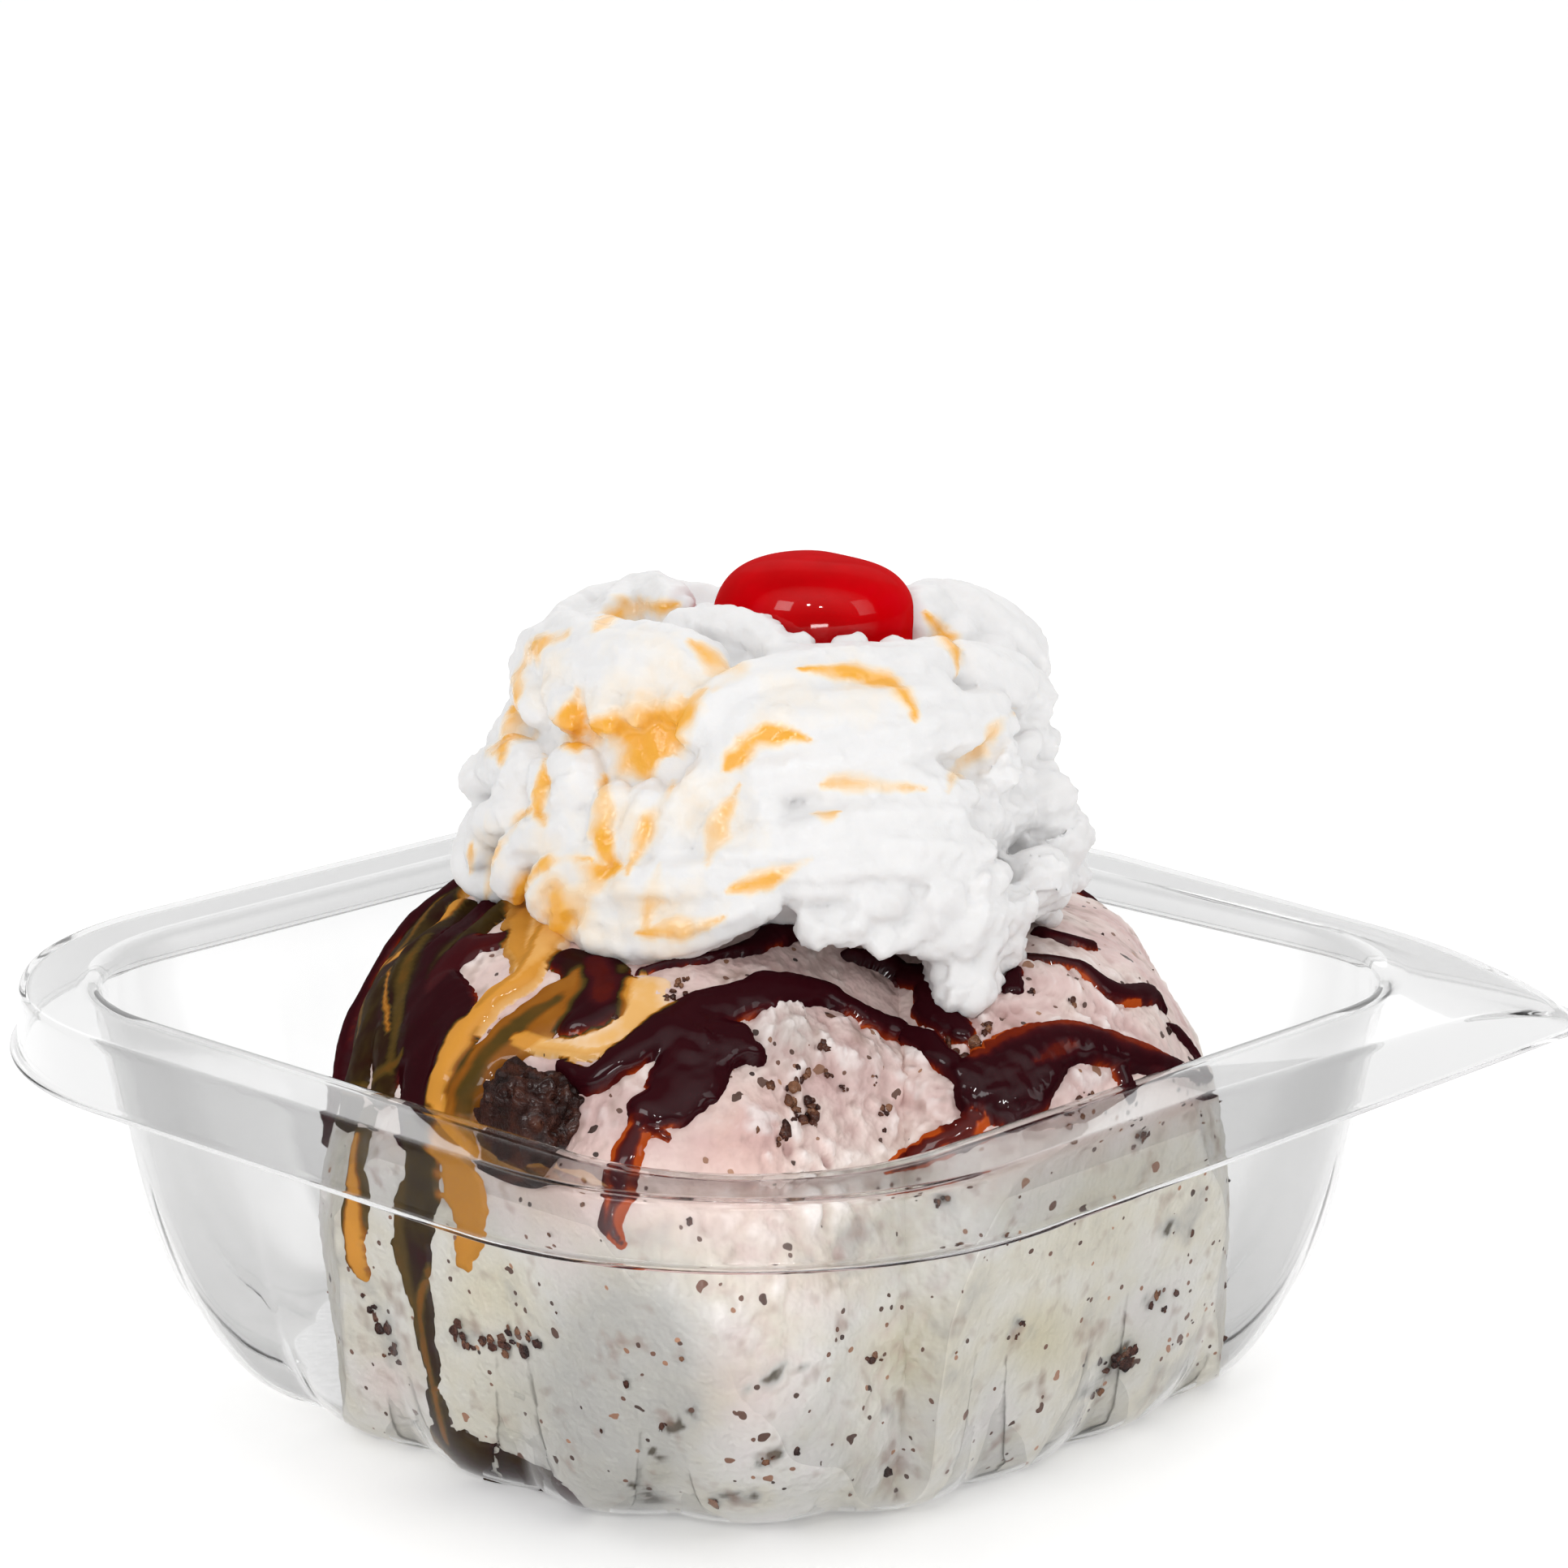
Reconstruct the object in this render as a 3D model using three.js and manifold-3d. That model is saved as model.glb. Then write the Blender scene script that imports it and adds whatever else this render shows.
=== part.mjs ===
import * as THREE from 'three';
import Module from 'manifold-3d';

const wasm = await Module();
wasm.setup();

// All sizes in millimetres. The bowl's sides run along X and Y, Z is up,
// and the origin is the middle of the bowl's underside.

// Bowl: inside of the wall at a few heights, from the floor to the opening.
const wallThickness = 0.8;
const rimHeight = 46.5;
const openingSide = 119.5;
const openingRadius = 25.5;
const wallLevels = [
  { z: 0.8, side: 99.5, radius: 38.5, flute: 0.8 },
  { z: 2.0, side: 103.5, radius: 36.5, flute: 1 },
  { z: 5.0, side: 107, radius: 33, flute: 1 },
  { z: 11.0, side: 110, radius: 28, flute: 1 },
  { z: 22.0, side: 113.3, radius: 24.5, flute: 0.7 },
  { z: 34.0, side: 116.3, radius: 24.5, flute: 0.15 },
];

// Flutes: upright lobes with a groove between them, deepest at the floor.
const fluteCount = 20;
const fluteSteps = 5;
const fluteDepth = 2.2;

// Rim: a flat flange, a skirt that hangs from it and a narrow lip at its foot.
// The +X +Y corner is drawn out to a tab that slopes down to the skirt's foot.
const flangeSide = 140;
const flangeRadius = 38;
const skirtDrop = 7.5;
const skirtFlare = 1.5;
const skirtRadius = 42;
const lipWidth = 1.2;
const lipThickness = 0.9;
const tabRadius = 9;
const tabSlope = 0.45;

// Space left between pieces that touch, and how closely cut edges are kept.
const gap = 0.3;
const cutTolerance = 0.06;

// The heap is laid out across (u) and away (v) from its shown side,
// which faces the bowl's corner at +X -Y.
const heapTurn = THREE.MathUtils.degToRad(43.3);

const scoopLeft = {
  center: [-8, -15, 20], radii: [38.5, 55.5, 43], power: 2.5,
  around: 38, up: 20, lump: 1.8, seed: 1.7,
};
const scoopRight = {
  center: [27, -12, 18], radii: [28.5, 47, 39.5], power: 2.5,
  around: 32, up: 18, lump: 1.6, seed: 4.1,
};

// Whipped cream: star-sectioned ropes wound in three layers around a full middle.
// Angles in degrees, 0 to the right of the shown side, 90 away from it.
const creamCenter = [3.5, -12];
const ropeStepAngle = 14;
const ropeLobes = 6;
const ropeLobeDepth = 0.13;
const ropeTwist = 0.25;
const creamRopes = [
  { from: 218, to: 425, coil: [29.5, 26.5], z: [61.5, 65], radius: [9.8, 10.6] },
  { from: 412, to: 586, coil: [26.5, 26], z: [65, 68], radius: [10.6, 10.2] },
  { from: 200, to: 400, coil: [24.5, 24], z: [74, 75.5], radius: [9.5, 9.6] },
  { from: 388, to: 540, coil: [24, 22.5], z: [75.5, 77], radius: [9.6, 9.2] },
  { from: 205, to: 400, coil: [22.5, 22], z: [82, 83], radius: [9.4, 9.2] },
  { from: 386, to: 545, coil: [22, 21], z: [83, 82], radius: [9.2, 9] },
];
const creamMiddle = {
  center: [3.5, -12, 68], radii: [27, 27, 20], power: 2.4,
  around: 24, up: 12, lump: 0.6, seed: 2.9,
};
const creamDrip = { top: [22, -44, 64], foot: [23.5, -50.5, 55], radius: 6.2, footRadius: 3.2 };

const cherryShape = {
  center: [8, -14, 88], radii: [11, 11, 9.8], power: 2.4,
  around: 22, up: 12, lump: 0.25, seed: 0.6,
};
const chunkShape = {
  center: [-22.5, -50.5, 45.5], radii: [6.2, 6, 6.4], power: 3.6,
  around: 16, up: 10, lump: 0.9, seed: 7.3,
};

// Point of the heap's own layout in the bowl's frame.
function turned([u, v, z]) {
  const c = Math.cos(heapTurn);
  const s = Math.sin(heapTurn);
  return [u * c - v * s, u * s + v * c, z];
}

// Slow uneven swelling between -1 and 1 over directions on a ball.
function swelling(x, y, z, seed) {
  const a = Math.sin(2.9 * x + 1.7 * y + seed);
  const b = Math.sin(3.7 * y - 2.3 * z + 2.1 * seed);
  const c = Math.sin(4.3 * z + 3.1 * x - 1.3 * seed);
  const d = Math.sin(7.1 * x - 5.9 * z + 3.3 * seed);
  const e = Math.sin(6.7 * y + 6.1 * z + 0.7 * seed);
  return (a + b + c + 0.6 * d + 0.6 * e) / 3.4;
}

// Closed body from rings of equal count. The first and last ring are single points.
function solidFromRings(rings) {
  const count = rings[1].length;
  const points = rings.flat();
  const starts = [];
  let next = 0;
  for (const ring of rings) {
    starts.push(next);
    next += ring.length;
  }
  const faces = [];
  for (let r = 0; r + 1 < rings.length; r += 1) {
    for (let i = 0; i < count; i += 1) {
      const j = (i + 1) % count;
      const a = starts[r] + (rings[r].length > 1 ? i : 0);
      const b = starts[r] + (rings[r].length > 1 ? j : 0);
      const c = starts[r + 1] + (rings[r + 1].length > 1 ? i : 0);
      const d = starts[r + 1] + (rings[r + 1].length > 1 ? j : 0);
      if (a !== b) faces.push([a, b, c]);
      if (c !== d) faces.push([b, d, c]);
    }
  }
  let volume = 0;
  for (const [a, b, c] of faces) {
    const p = new THREE.Vector3(...points[a]);
    const q = new THREE.Vector3(...points[b]);
    const s = new THREE.Vector3(...points[c]);
    volume += p.dot(q.cross(s));
  }
  const outward = volume > 0 ? faces : faces.map(([a, b, c]) => [a, c, b]);
  const mesh = new wasm.Mesh({
    numProp: 3,
    vertProperties: new Float32Array(points.flat()),
    triVerts: new Uint32Array(outward.flat()),
  });
  return new wasm.Manifold(mesh);
}

// Rounded square around the Z axis, evenly stepped along each quarter,
// with its own radius at the +X +Y corner.
function roundedSquare(side, radius, cornerRadius, steps) {
  const half = side / 2;
  const perQuarter = steps / 4;
  const found = [];
  for (let quarter = 0; quarter < 4; quarter += 1) {
    const r = quarter === 0 ? cornerRadius : radius;
    const straight = half - r;
    const length = 2 * straight + (Math.PI * r) / 2;
    for (let k = 0; k < perQuarter; k += 1) {
      const along = (length * k) / perQuarter;
      const bend = THREE.MathUtils.clamp((along - straight) / r, 0, Math.PI / 2);
      const before = Math.min(along, straight);
      const after = Math.max(along - straight - (Math.PI * r) / 2, 0);
      const x = straight + r * Math.cos(bend) - after;
      const y = before + r * Math.sin(bend);
      const spin = (quarter * Math.PI) / 2;
      const cs = Math.cos(spin);
      const sn = Math.sin(spin);
      const nx = Math.cos(bend);
      const ny = Math.sin(bend);
      found.push({
        x: x * cs - y * sn,
        y: x * sn + y * cs,
        nx: nx * cs - ny * sn,
        ny: nx * sn + ny * cs,
      });
    }
  }
  return found;
}

// One ring of the bowl: a rounded square grown by a margin and drawn in at the grooves.
function bowlRing({ z, side, radius, flute = 0, corner = null, slope = 0 }, margin) {
  const steps = fluteCount * fluteSteps;
  const cornerRadius = corner === null ? radius : corner;
  const square = roundedSquare(side, radius, cornerRadius, steps);
  const regular = roundedSquare(side, radius, radius, steps);
  return square.map((p, i) => {
    const lobe = Math.abs(Math.sin((Math.PI * i) / fluteSteps));
    const out = margin - fluteDepth * flute * (1 - lobe);
    const drawnOut = Math.hypot(p.x - regular[i].x, p.y - regular[i].y);
    return [p.x + p.nx * out, p.y + p.ny * out, z - slope * drawnOut];
  });
}

const opening = { z: rimHeight, side: openingSide, radius: openingRadius };
const skirtFoot = rimHeight - skirtDrop;

function bowlSolid() {
  const t = wallThickness;
  const outside = wallLevels.map((level, i) => ({ ...level, z: i === 0 ? 0 : level.z - 0.25 * t }));
  const flange = { side: flangeSide, radius: flangeRadius, corner: tabRadius, slope: tabSlope };
  const foot = { side: flangeSide + 2 * skirtFlare, radius: skirtRadius, corner: tabRadius };
  const rings = [
    [[0, 0, 0]],
    ...outside.map((level) => bowlRing(level, t)),
    bowlRing({ ...opening, z: rimHeight - t }, t),
    bowlRing({ ...flange, z: rimHeight - t }, -t),
    bowlRing({ ...foot, z: skirtFoot }, -t),
    bowlRing({ ...foot, z: skirtFoot }, lipWidth),
    bowlRing({ ...foot, z: skirtFoot + lipThickness }, lipWidth),
    bowlRing({ ...foot, z: skirtFoot + lipThickness }, 0),
    bowlRing({ ...flange, z: rimHeight }, 0),
    bowlRing(opening, 0),
    ...wallLevels.map((level) => bowlRing(level, 0)).reverse(),
    [[0, 0, wallThickness]],
  ];
  return solidFromRings(rings);
}

// Space that the contents may fill: the inside of the bowl, drawn in by the gap.
function cavitySolid() {
  const floor = wallThickness + gap;
  const levels = wallLevels.map((level, i) => ({ ...level, z: i === 0 ? floor : level.z + gap }));
  const above = { ...opening, z: 140 };
  const rings = [
    [[0, 0, floor]],
    ...levels.map((level) => bowlRing(level, -gap)),
    bowlRing(opening, -gap),
    bowlRing(above, -gap),
    [[0, 0, 140]],
  ];
  return solidFromRings(rings);
}

// Rounded body between a ball and a block, with uneven swelling, grown by a margin.
function blobSolid({ center, radii, power, around, up, lump, seed }, margin = 0) {
  const rings = [[turned([center[0], center[1], center[2] - radii[2] - margin])]];
  const e = 2 / power;
  for (let j = 1; j < up; j += 1) {
    const rise = -Math.PI / 2 + (Math.PI * j) / up;
    const flat = Math.cos(rise) ** e;
    const high = Math.sign(Math.sin(rise)) * Math.abs(Math.sin(rise)) ** e;
    const ring = [];
    for (let i = 0; i < around; i += 1) {
      const turn = (2 * Math.PI * i) / around;
      const dx = flat * Math.cos(turn);
      const dy = flat * Math.sin(turn);
      const grow = margin + lump * swelling(dx, dy, high, seed);
      ring.push(turned([
        center[0] + (radii[0] + grow) * dx,
        center[1] + (radii[1] + grow) * dy,
        center[2] + (radii[2] + grow) * high,
      ]));
    }
    rings.push(ring);
  }
  rings.push([turned([center[0], center[1], center[2] + radii[2] + margin])]);
  return solidFromRings(rings);
}

// Body swept along a path with a lobed section that twists as it goes, rounded at both ends.
function ropeSolid(path, steps, radiusAt, lobes, lobeDepth, twist) {
  const sectionSteps = lobes * 2;
  const rings = [[turned(path(0))]];
  for (let k = 0; k <= steps; k += 1) {
    const t = k / steps;
    const here = new THREE.Vector3(...path(t));
    const ahead = new THREE.Vector3(...path(Math.min(t + 0.002, 1)));
    const behind = new THREE.Vector3(...path(Math.max(t - 0.002, 0)));
    const forward = ahead.sub(behind).normalize();
    const lead = Math.abs(forward.z) > 0.8 ? new THREE.Vector3(1, 0, 0) : new THREE.Vector3(0, 0, 1);
    const side = new THREE.Vector3().crossVectors(forward, lead).normalize();
    const over = new THREE.Vector3().crossVectors(side, forward);
    const fromEnd = Math.min(k + 0.6, steps - k + 0.6);
    const cap = Math.sin(Math.min(fromEnd / 3, 1) * (Math.PI / 2));
    const ring = [];
    for (let i = 0; i < sectionSteps; i += 1) {
      const turn = (2 * Math.PI * i) / sectionSteps + twist * t * 2 * Math.PI;
      const lobe = i % 2 === 0 ? 1 : 1 - 2 * lobeDepth;
      const r = radiusAt(t) * cap * lobe;
      const p = here.clone();
      p.addScaledVector(side, r * Math.cos(turn));
      p.addScaledVector(over, r * Math.sin(turn));
      ring.push(turned([p.x, p.y, p.z]));
    }
    rings.push(ring);
  }
  rings.push([turned(path(1))]);
  return solidFromRings(rings);
}

function creamSolid() {
  const mix = THREE.MathUtils.lerp;
  let body = blobSolid(creamMiddle);
  for (const { from, to, coil, z, radius } of creamRopes) {
    const path = (t) => {
      const turn = THREE.MathUtils.degToRad(mix(from, to, t));
      const r = mix(coil[0], coil[1], t);
      return [
        creamCenter[0] + r * Math.cos(turn),
        creamCenter[1] + r * Math.sin(turn),
        mix(z[0], z[1], t),
      ];
    };
    const steps = Math.round((to - from) / ropeStepAngle);
    const radiusAt = (t) => mix(radius[0], radius[1], t);
    body = body.add(ropeSolid(path, steps, radiusAt, ropeLobes, ropeLobeDepth, ropeTwist));
  }
  const drip = (t) => creamDrip.top.map((start, axis) => mix(start, creamDrip.foot[axis], t));
  const dripRadius = (t) => mix(creamDrip.radius, creamDrip.footRadius, t);
  return body.add(ropeSolid(drip, 6, dripRadius, 4, 0.05, 0));
}

// Largest connected part of a cut body, with edges shorter than the facets need drawn together.
function cleanCut(body) {
  const parts = body.decompose();
  const whole = parts.reduce((best, part) => (part.volume() > best.volume() ? part : best));
  return whole.asOriginal().simplify(cutTolerance);
}

const group = new THREE.Group();
group.name = 'ice_cream_sundae';

function addNode(name, body, color, roughness) {
  const mesh = body.getMesh();
  const shape = new THREE.BufferGeometry();
  shape.setAttribute('position', new THREE.BufferAttribute(new Float32Array(mesh.vertProperties), 3));
  shape.setIndex(new THREE.BufferAttribute(new Uint32Array(mesh.triVerts), 1));
  shape.computeVertexNormals();
  const material = new THREE.MeshStandardMaterial({ color, roughness, metalness: 0 });
  const node = new THREE.Mesh(shape, material);
  node.name = name;
  group.add(node);
}

const cavity = cavitySolid();
const chunk = blobSolid(chunkShape);
const chunkSocket = blobSolid(chunkShape, gap);
const leftMass = blobSolid(scoopLeft).intersect(cavity);
const rightMass = blobSolid(scoopRight).intersect(cavity).subtract(blobSolid(scoopLeft, gap));
const heapGrown = blobSolid(scoopLeft, gap).add(blobSolid(scoopRight, gap));
const cream = creamSolid().subtract(heapGrown).subtract(blobSolid(cherryShape, gap)).subtract(chunkSocket);

addNode('bowl', bowlSolid(), 0xe4e8ea, 0.08);
addNode('scoop_left', cleanCut(leftMass.subtract(chunkSocket)), 0xeee2d6, 0.6);
addNode('scoop_right', cleanCut(rightMass.subtract(chunkSocket)), 0xece3d8, 0.6);
addNode('whipped_cream', cleanCut(cream), 0xfbf8f4, 0.5);
addNode('cherry', blobSolid(cherryShape), 0xbe0a10, 0.15);
addNode('brownie_chunk', chunk, 0x2c1512, 0.8);

export default group;
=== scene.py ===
import itertools
import math

import bmesh
import bpy
import numpy as np
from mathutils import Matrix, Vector
from mathutils.bvhtree import BVHTree


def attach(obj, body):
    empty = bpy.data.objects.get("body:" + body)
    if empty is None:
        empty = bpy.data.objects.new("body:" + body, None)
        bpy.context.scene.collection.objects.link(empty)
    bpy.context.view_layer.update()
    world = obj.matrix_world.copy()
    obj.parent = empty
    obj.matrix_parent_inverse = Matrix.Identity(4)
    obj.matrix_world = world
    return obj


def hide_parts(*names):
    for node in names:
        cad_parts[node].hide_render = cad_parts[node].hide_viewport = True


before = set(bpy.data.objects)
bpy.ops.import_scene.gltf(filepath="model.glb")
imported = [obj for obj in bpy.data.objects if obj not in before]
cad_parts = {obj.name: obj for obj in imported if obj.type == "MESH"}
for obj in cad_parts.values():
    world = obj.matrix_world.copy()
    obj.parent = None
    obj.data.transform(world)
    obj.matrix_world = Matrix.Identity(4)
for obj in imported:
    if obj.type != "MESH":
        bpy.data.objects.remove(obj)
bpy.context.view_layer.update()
scene = bpy.context.scene
print("frame loaded, nodes:", ", ".join(sorted(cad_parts)))

# The heap is laid out in millimetres: right and away as the shown side faces the viewer, then up.
heapTurn = math.radians(43.3)
heapMiddle = np.array([8.0, -13.0, 20.0])   # inside both scoops
milli = 0.001

view = {
    "place": (5.0, -524.7, 198.1),   # heap layout, mm
    "pitch": 13.9,                   # degrees down
    "focal": 5790.0,                 # picture points
    "side": 1932,                    # picture width and height
    "sensor": 36.0,                  # mm
    # lines of sight: from and to in mm from the eye, and how many samples
    "heapSight": (400, 640, 481),
    "creamSight": (400, 620, 881),
}


def toBowl(p):
    # heap layout turned about the upright axis into the bowl's own sides, still mm
    c, s = math.cos(heapTurn), math.sin(heapTurn)
    return np.stack([p[..., 0] * c - p[..., 1] * s, p[..., 0] * s + p[..., 1] * c, p[..., 2]], -1)


def toHeap(p):
    # the same turn the other way
    c, s = math.cos(heapTurn), math.sin(heapTurn)
    return np.stack([p[..., 0] * c + p[..., 1] * s, p[..., 1] * c - p[..., 0] * s, p[..., 2]], -1)


def toFrame(p):
    # heap layout into the part's frame: turned, mm to metres
    return toBowl(p) * milli


def unit(v):
    # each row over its own length
    return v / np.maximum(np.linalg.norm(v, axis=-1, keepdims=True), 1e-9)


def smoothStep(low, high, x):
    # 0 up to low, 1 from high, and 3tt - 2ttt between them
    t = np.clip((x - low) / (high - low), 0, 1)
    return t * t * (3 - 2 * t)


def turns(count):
    # a full turn in even steps, without its end
    return np.linspace(0, 2 * np.pi, count, endpoint=False)


def wayAt(rise, turn):
    # unit ways by the rise over the level and the turn about the upright axis
    return np.stack([np.cos(rise) * np.cos(turn), np.cos(rise) * np.sin(turn), np.sin(rise)], -1)


def roundBlock(rise, turn, power, square=1.0):
    # body between a ball and a block, half size 1: sine and cosine of the rise raised to 2 / power,
    # those of the turn to square
    def bend(v, e):
        return np.sign(v) * np.abs(v) ** e

    r, t = np.meshgrid(rise, turn, indexing="ij")
    e = 2 / power
    flat = np.cos(r) ** e
    return np.stack([flat * bend(np.cos(t), square), flat * bend(np.sin(t), square), bend(np.sin(r), e)], -1)


def wholeBlock(shape, square=1.0):
    # the same from pole to pole, poles left off
    rise = np.linspace(-np.pi / 2, np.pi / 2, shape["rows"] + 2)[1:-1]
    return roundBlock(rise, turns(shape["columns"]), shape["power"], square)


def pictureRays(spots):
    # straight lines from the eye through picture points: offset over focal length, tilted by the pitch
    spots = np.asarray(spots, float)
    half = view["side"] / 2
    tilt = math.radians(view["pitch"])
    across = (spots[:, 0] - half) / view["focal"]
    rise = (half - spots[:, 1]) / view["focal"]
    ways = np.stack([
        across,
        math.cos(tilt) + rise * math.sin(tilt),
        rise * math.cos(tilt) - math.sin(tilt),
    ], -1)
    return np.array(view["place"]), unit(ways)


def toPicture(p):
    # picture points of heap points, the same lines the other way
    d = p - np.array(view["place"])
    tilt = math.radians(view["pitch"])
    ahead = d[:, 1] * math.cos(tilt) - d[:, 2] * math.sin(tilt)
    above = d[:, 1] * math.sin(tilt) + d[:, 2] * math.cos(tilt)
    half = view["side"] / 2
    return half + view["focal"] * d[:, 0] / ahead, half - view["focal"] * above / ahead


def sightPoints(spots, near, far, count):
    # samples along the line of sight through each picture point, from near to far in mm
    eye, ways = pictureRays(spots)
    return eye + ways[:, None, :] * np.linspace(near, far, count)[None, :, None]


def firstInside(p, value, level):
    # on each line the first sample whose value is down to the level, or else the lowest one
    hit = value <= level
    k = np.where(hit.any(1), hit.argmax(1), value.argmin(1))
    return p[np.arange(len(k)), k]


def curveThrough(points, count):
    # Catmull-Rom curve through rows of any width, count samples evenly spaced in the parameter
    p = np.asarray(points, float)
    p = np.vstack([2 * p[0] - p[1], p, 2 * p[-1] - p[-2]])
    t = np.linspace(0, len(p) - 3 - 1e-9, count)
    k = t.astype(int)
    f = (t - k)[:, None]
    a, b, c, d = p[k], p[k + 1], p[k + 2], p[k + 3]
    bend, twist = 2 * a - 5 * b + 4 * c - d, 3 * b - a - 3 * c + d
    return 0.5 * (2 * b + (c - a) * f + bend * f ** 2 + twist * f ** 3)


# Uneven shapes: smooth noise from a lattice of random slopes, and distances to scattered points.
corners = np.array(list(itertools.product((0, 1), repeat=3)))
neighbours = np.array(list(itertools.product((-1, 0, 1), repeat=3)))
slopes = unit(np.random.default_rng(11).normal(size=(32, 3)))


def hashCells(cells, seed):
    # whole numbers mixed into one 32-bit value each
    c = cells.astype(np.uint64)
    h = c[..., 0] * np.uint64(73856093) ^ c[..., 1] * np.uint64(19349663) ^ c[..., 2] * np.uint64(83492791)
    h = (h ^ np.uint64(seed * 2654435761 + 97)) & np.uint64(0xFFFFFFFF)
    for shift, factor in ((15, 0x2C1B3C6D), (12, 0x297A2D39)):
        h = ((h ^ (h >> np.uint64(shift))) * np.uint64(factor)) & np.uint64(0xFFFFFFFF)
    return h ^ (h >> np.uint64(15))


def noise(p, seed):
    # slopes at the eight lattice corners around each point, blended by a quintic, about -1 to 1
    base = np.floor(p)
    f = p - base
    base = base.astype(np.int64)
    w = f * f * f * (f * (f * 6 - 15) + 10)
    total = np.zeros(len(p))
    for corner in corners:
        slope = slopes[hashCells(base + corner, seed) & np.uint64(31)]
        weight = np.prod(np.where(corner, w, 1 - w), axis=1)
        total += weight * ((f - corner) * slope).sum(1)
    return total * 1.6


def layered(p, size, layers, seed):
    # noise of a first size in mm, with finer layers at half the size and half the strength
    return sum(noise(p * (2 ** k / size), seed + k) * 0.5 ** k for k in range(layers))


def crumbs(p, size, layers, seed):
    # rounded clumps with sharp creases between them: the folded value of the noise, about 0 to 1
    return sum(np.abs(noise(p * (2 ** k / size), seed + k)) * 0.5 ** k for k in range(layers))


def cellGap(p, size, seed):
    # distance to the nearest of the points scattered one to a cell, as a share of the cell
    q = p / size
    base = np.floor(q).astype(np.int64)
    best = np.full(len(q), 9.0)
    for step in neighbours:
        cell = base + step
        h = hashCells(cell, seed)
        spot = np.stack([(h >> np.uint64(10 * k)) & np.uint64(1023) for k in range(3)], -1) / 1023.0
        best = np.minimum(best, np.linalg.norm(cell + spot - q, axis=1))
    return best


# Meshes from arrays.
def gridQuads(rows, columns, start=0):
    # four corners of every cell of a grid whose columns close on themselves
    r, c = np.meshgrid(np.arange(rows - 1), np.arange(columns), indexing="ij")
    n = (c + 1) % columns
    quads = np.stack([r * columns + c, r * columns + n, (r + 1) * columns + n, (r + 1) * columns + c], -1)
    return quads.reshape(-1, 4) + start


def closedGrid(rings):
    # quads between rings, first and last ring closed by a fan to their middle
    rows, columns = rings.shape[:2]
    points = np.vstack([rings.reshape(-1, 3), rings[0].mean(0)[None], rings[-1].mean(0)[None]])
    quads = gridQuads(rows, columns)
    i = np.arange(columns)
    j = (i + 1) % columns
    low, high = rows * columns, rows * columns + 1
    top = (rows - 1) * columns
    fans = np.vstack([np.stack([j, i, np.full(columns, low)], -1),
                      np.stack([top + i, top + j, np.full(columns, high)], -1)])
    return points, quads, fans


def meshFrom(name, points, quads, triangles):
    # points in metres, faces as corner numbers
    mesh = bpy.data.meshes.new(name)
    loops = np.concatenate([quads.reshape(-1), triangles.reshape(-1)]).astype(np.int32)
    sizes = np.concatenate([np.full(len(quads), 4), np.full(len(triangles), 3)])
    starts = np.concatenate([[0], np.cumsum(sizes)[:-1]]).astype(np.int32)
    mesh.vertices.add(len(points))
    mesh.vertices.foreach_set("co", points.astype(np.float32).ravel())
    mesh.loops.add(len(loops))
    mesh.loops.foreach_set("vertex_index", loops)
    mesh.polygons.add(len(sizes))
    mesh.polygons.foreach_set("loop_start", starts)
    mesh.update(calc_edges=True)
    mesh.shade_smooth()
    return mesh


def closedMesh(name, rings, place=toFrame):
    # closed grid of heap points as a mesh in the part's frame
    points, quads, fans = closedGrid(rings)
    return meshFrom(name, place(points), quads, fans)


def addPiece(name, mesh, material, replaced=()):
    # object for a mesh, riding with the one body
    piece = bpy.data.objects.new(name, mesh)
    scene.collection.objects.link(piece)
    mesh.materials.clear()
    mesh.materials.append(material)
    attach(piece, "root")
    if replaced:
        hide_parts(*replaced)
    print(f"{name}: {len(mesh.vertices)} points, {sum(len(p.vertices) - 2 for p in mesh.polygons)} triangles")


def addShare(mesh, name, values):
    # one number for each point, for the materials to read
    mesh.attributes.new(name, "FLOAT", "POINT").data.foreach_set("value", values.astype(np.float32))


noTriangles = np.zeros((0, 3), int)


# Materials.
def newMaterial(name):
    # material with only its shader and its output
    material = bpy.data.materials.new(name)
    material.use_nodes = True
    tree = material.node_tree
    tree.nodes.clear()
    out = tree.nodes.new("ShaderNodeOutputMaterial")
    shader = tree.nodes.new("ShaderNodeBsdfPrincipled")
    tree.links.new(shader.outputs[0], out.inputs[0])
    return material, tree, shader


def join(tree, socket, value):
    # another node's socket is linked, a plain value is set
    if isinstance(value, bpy.types.NodeSocket):
        tree.links.new(value, socket)
    else:
        socket.default_value = value


def put(tree, kind, inputs=(), **settings):
    # one node with its settings and inputs
    node = tree.nodes.new("ShaderNode" + kind)
    for key, value in settings.items():
        setattr(node, key, value)
    for key, value in dict(inputs).items():
        join(tree, node.inputs[key], value)
    return node


def setShader(tree, shader, **values):
    # inputs of the shader by name, with _ for each space
    for key, value in values.items():
        join(tree, shader.inputs[key.replace("_", " ")], value)


def ramp(tree, share, stops):
    # colours straight between stops: place from 0 to 1, then the colour
    node = put(tree, "ValToRGB", {"Fac": share})
    ends = node.color_ramp.elements
    while len(ends) < len(stops):
        ends.new(0.5)
    for end, (place, color) in zip(ends, stops):
        end.position = place
        end.color = (*color, 1)
    return node.outputs["Color"]


def fade(tree, share, stops):
    # the same for plain values
    return ramp(tree, share, [(place, (value,) * 3) for place, value in stops])


def blendColor(tree, share, first, second, kind="MIX"):
    # first where the share is 0, second where it is 1
    node = put(tree, "Mix", data_type="RGBA", blend_type=kind)
    for socket, value in zip((node.inputs[0], node.inputs[6], node.inputs[7]), (share, first, second)):
        join(tree, socket, (*value, 1) if isinstance(value, tuple) else value)
    return node.outputs[2]


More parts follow.
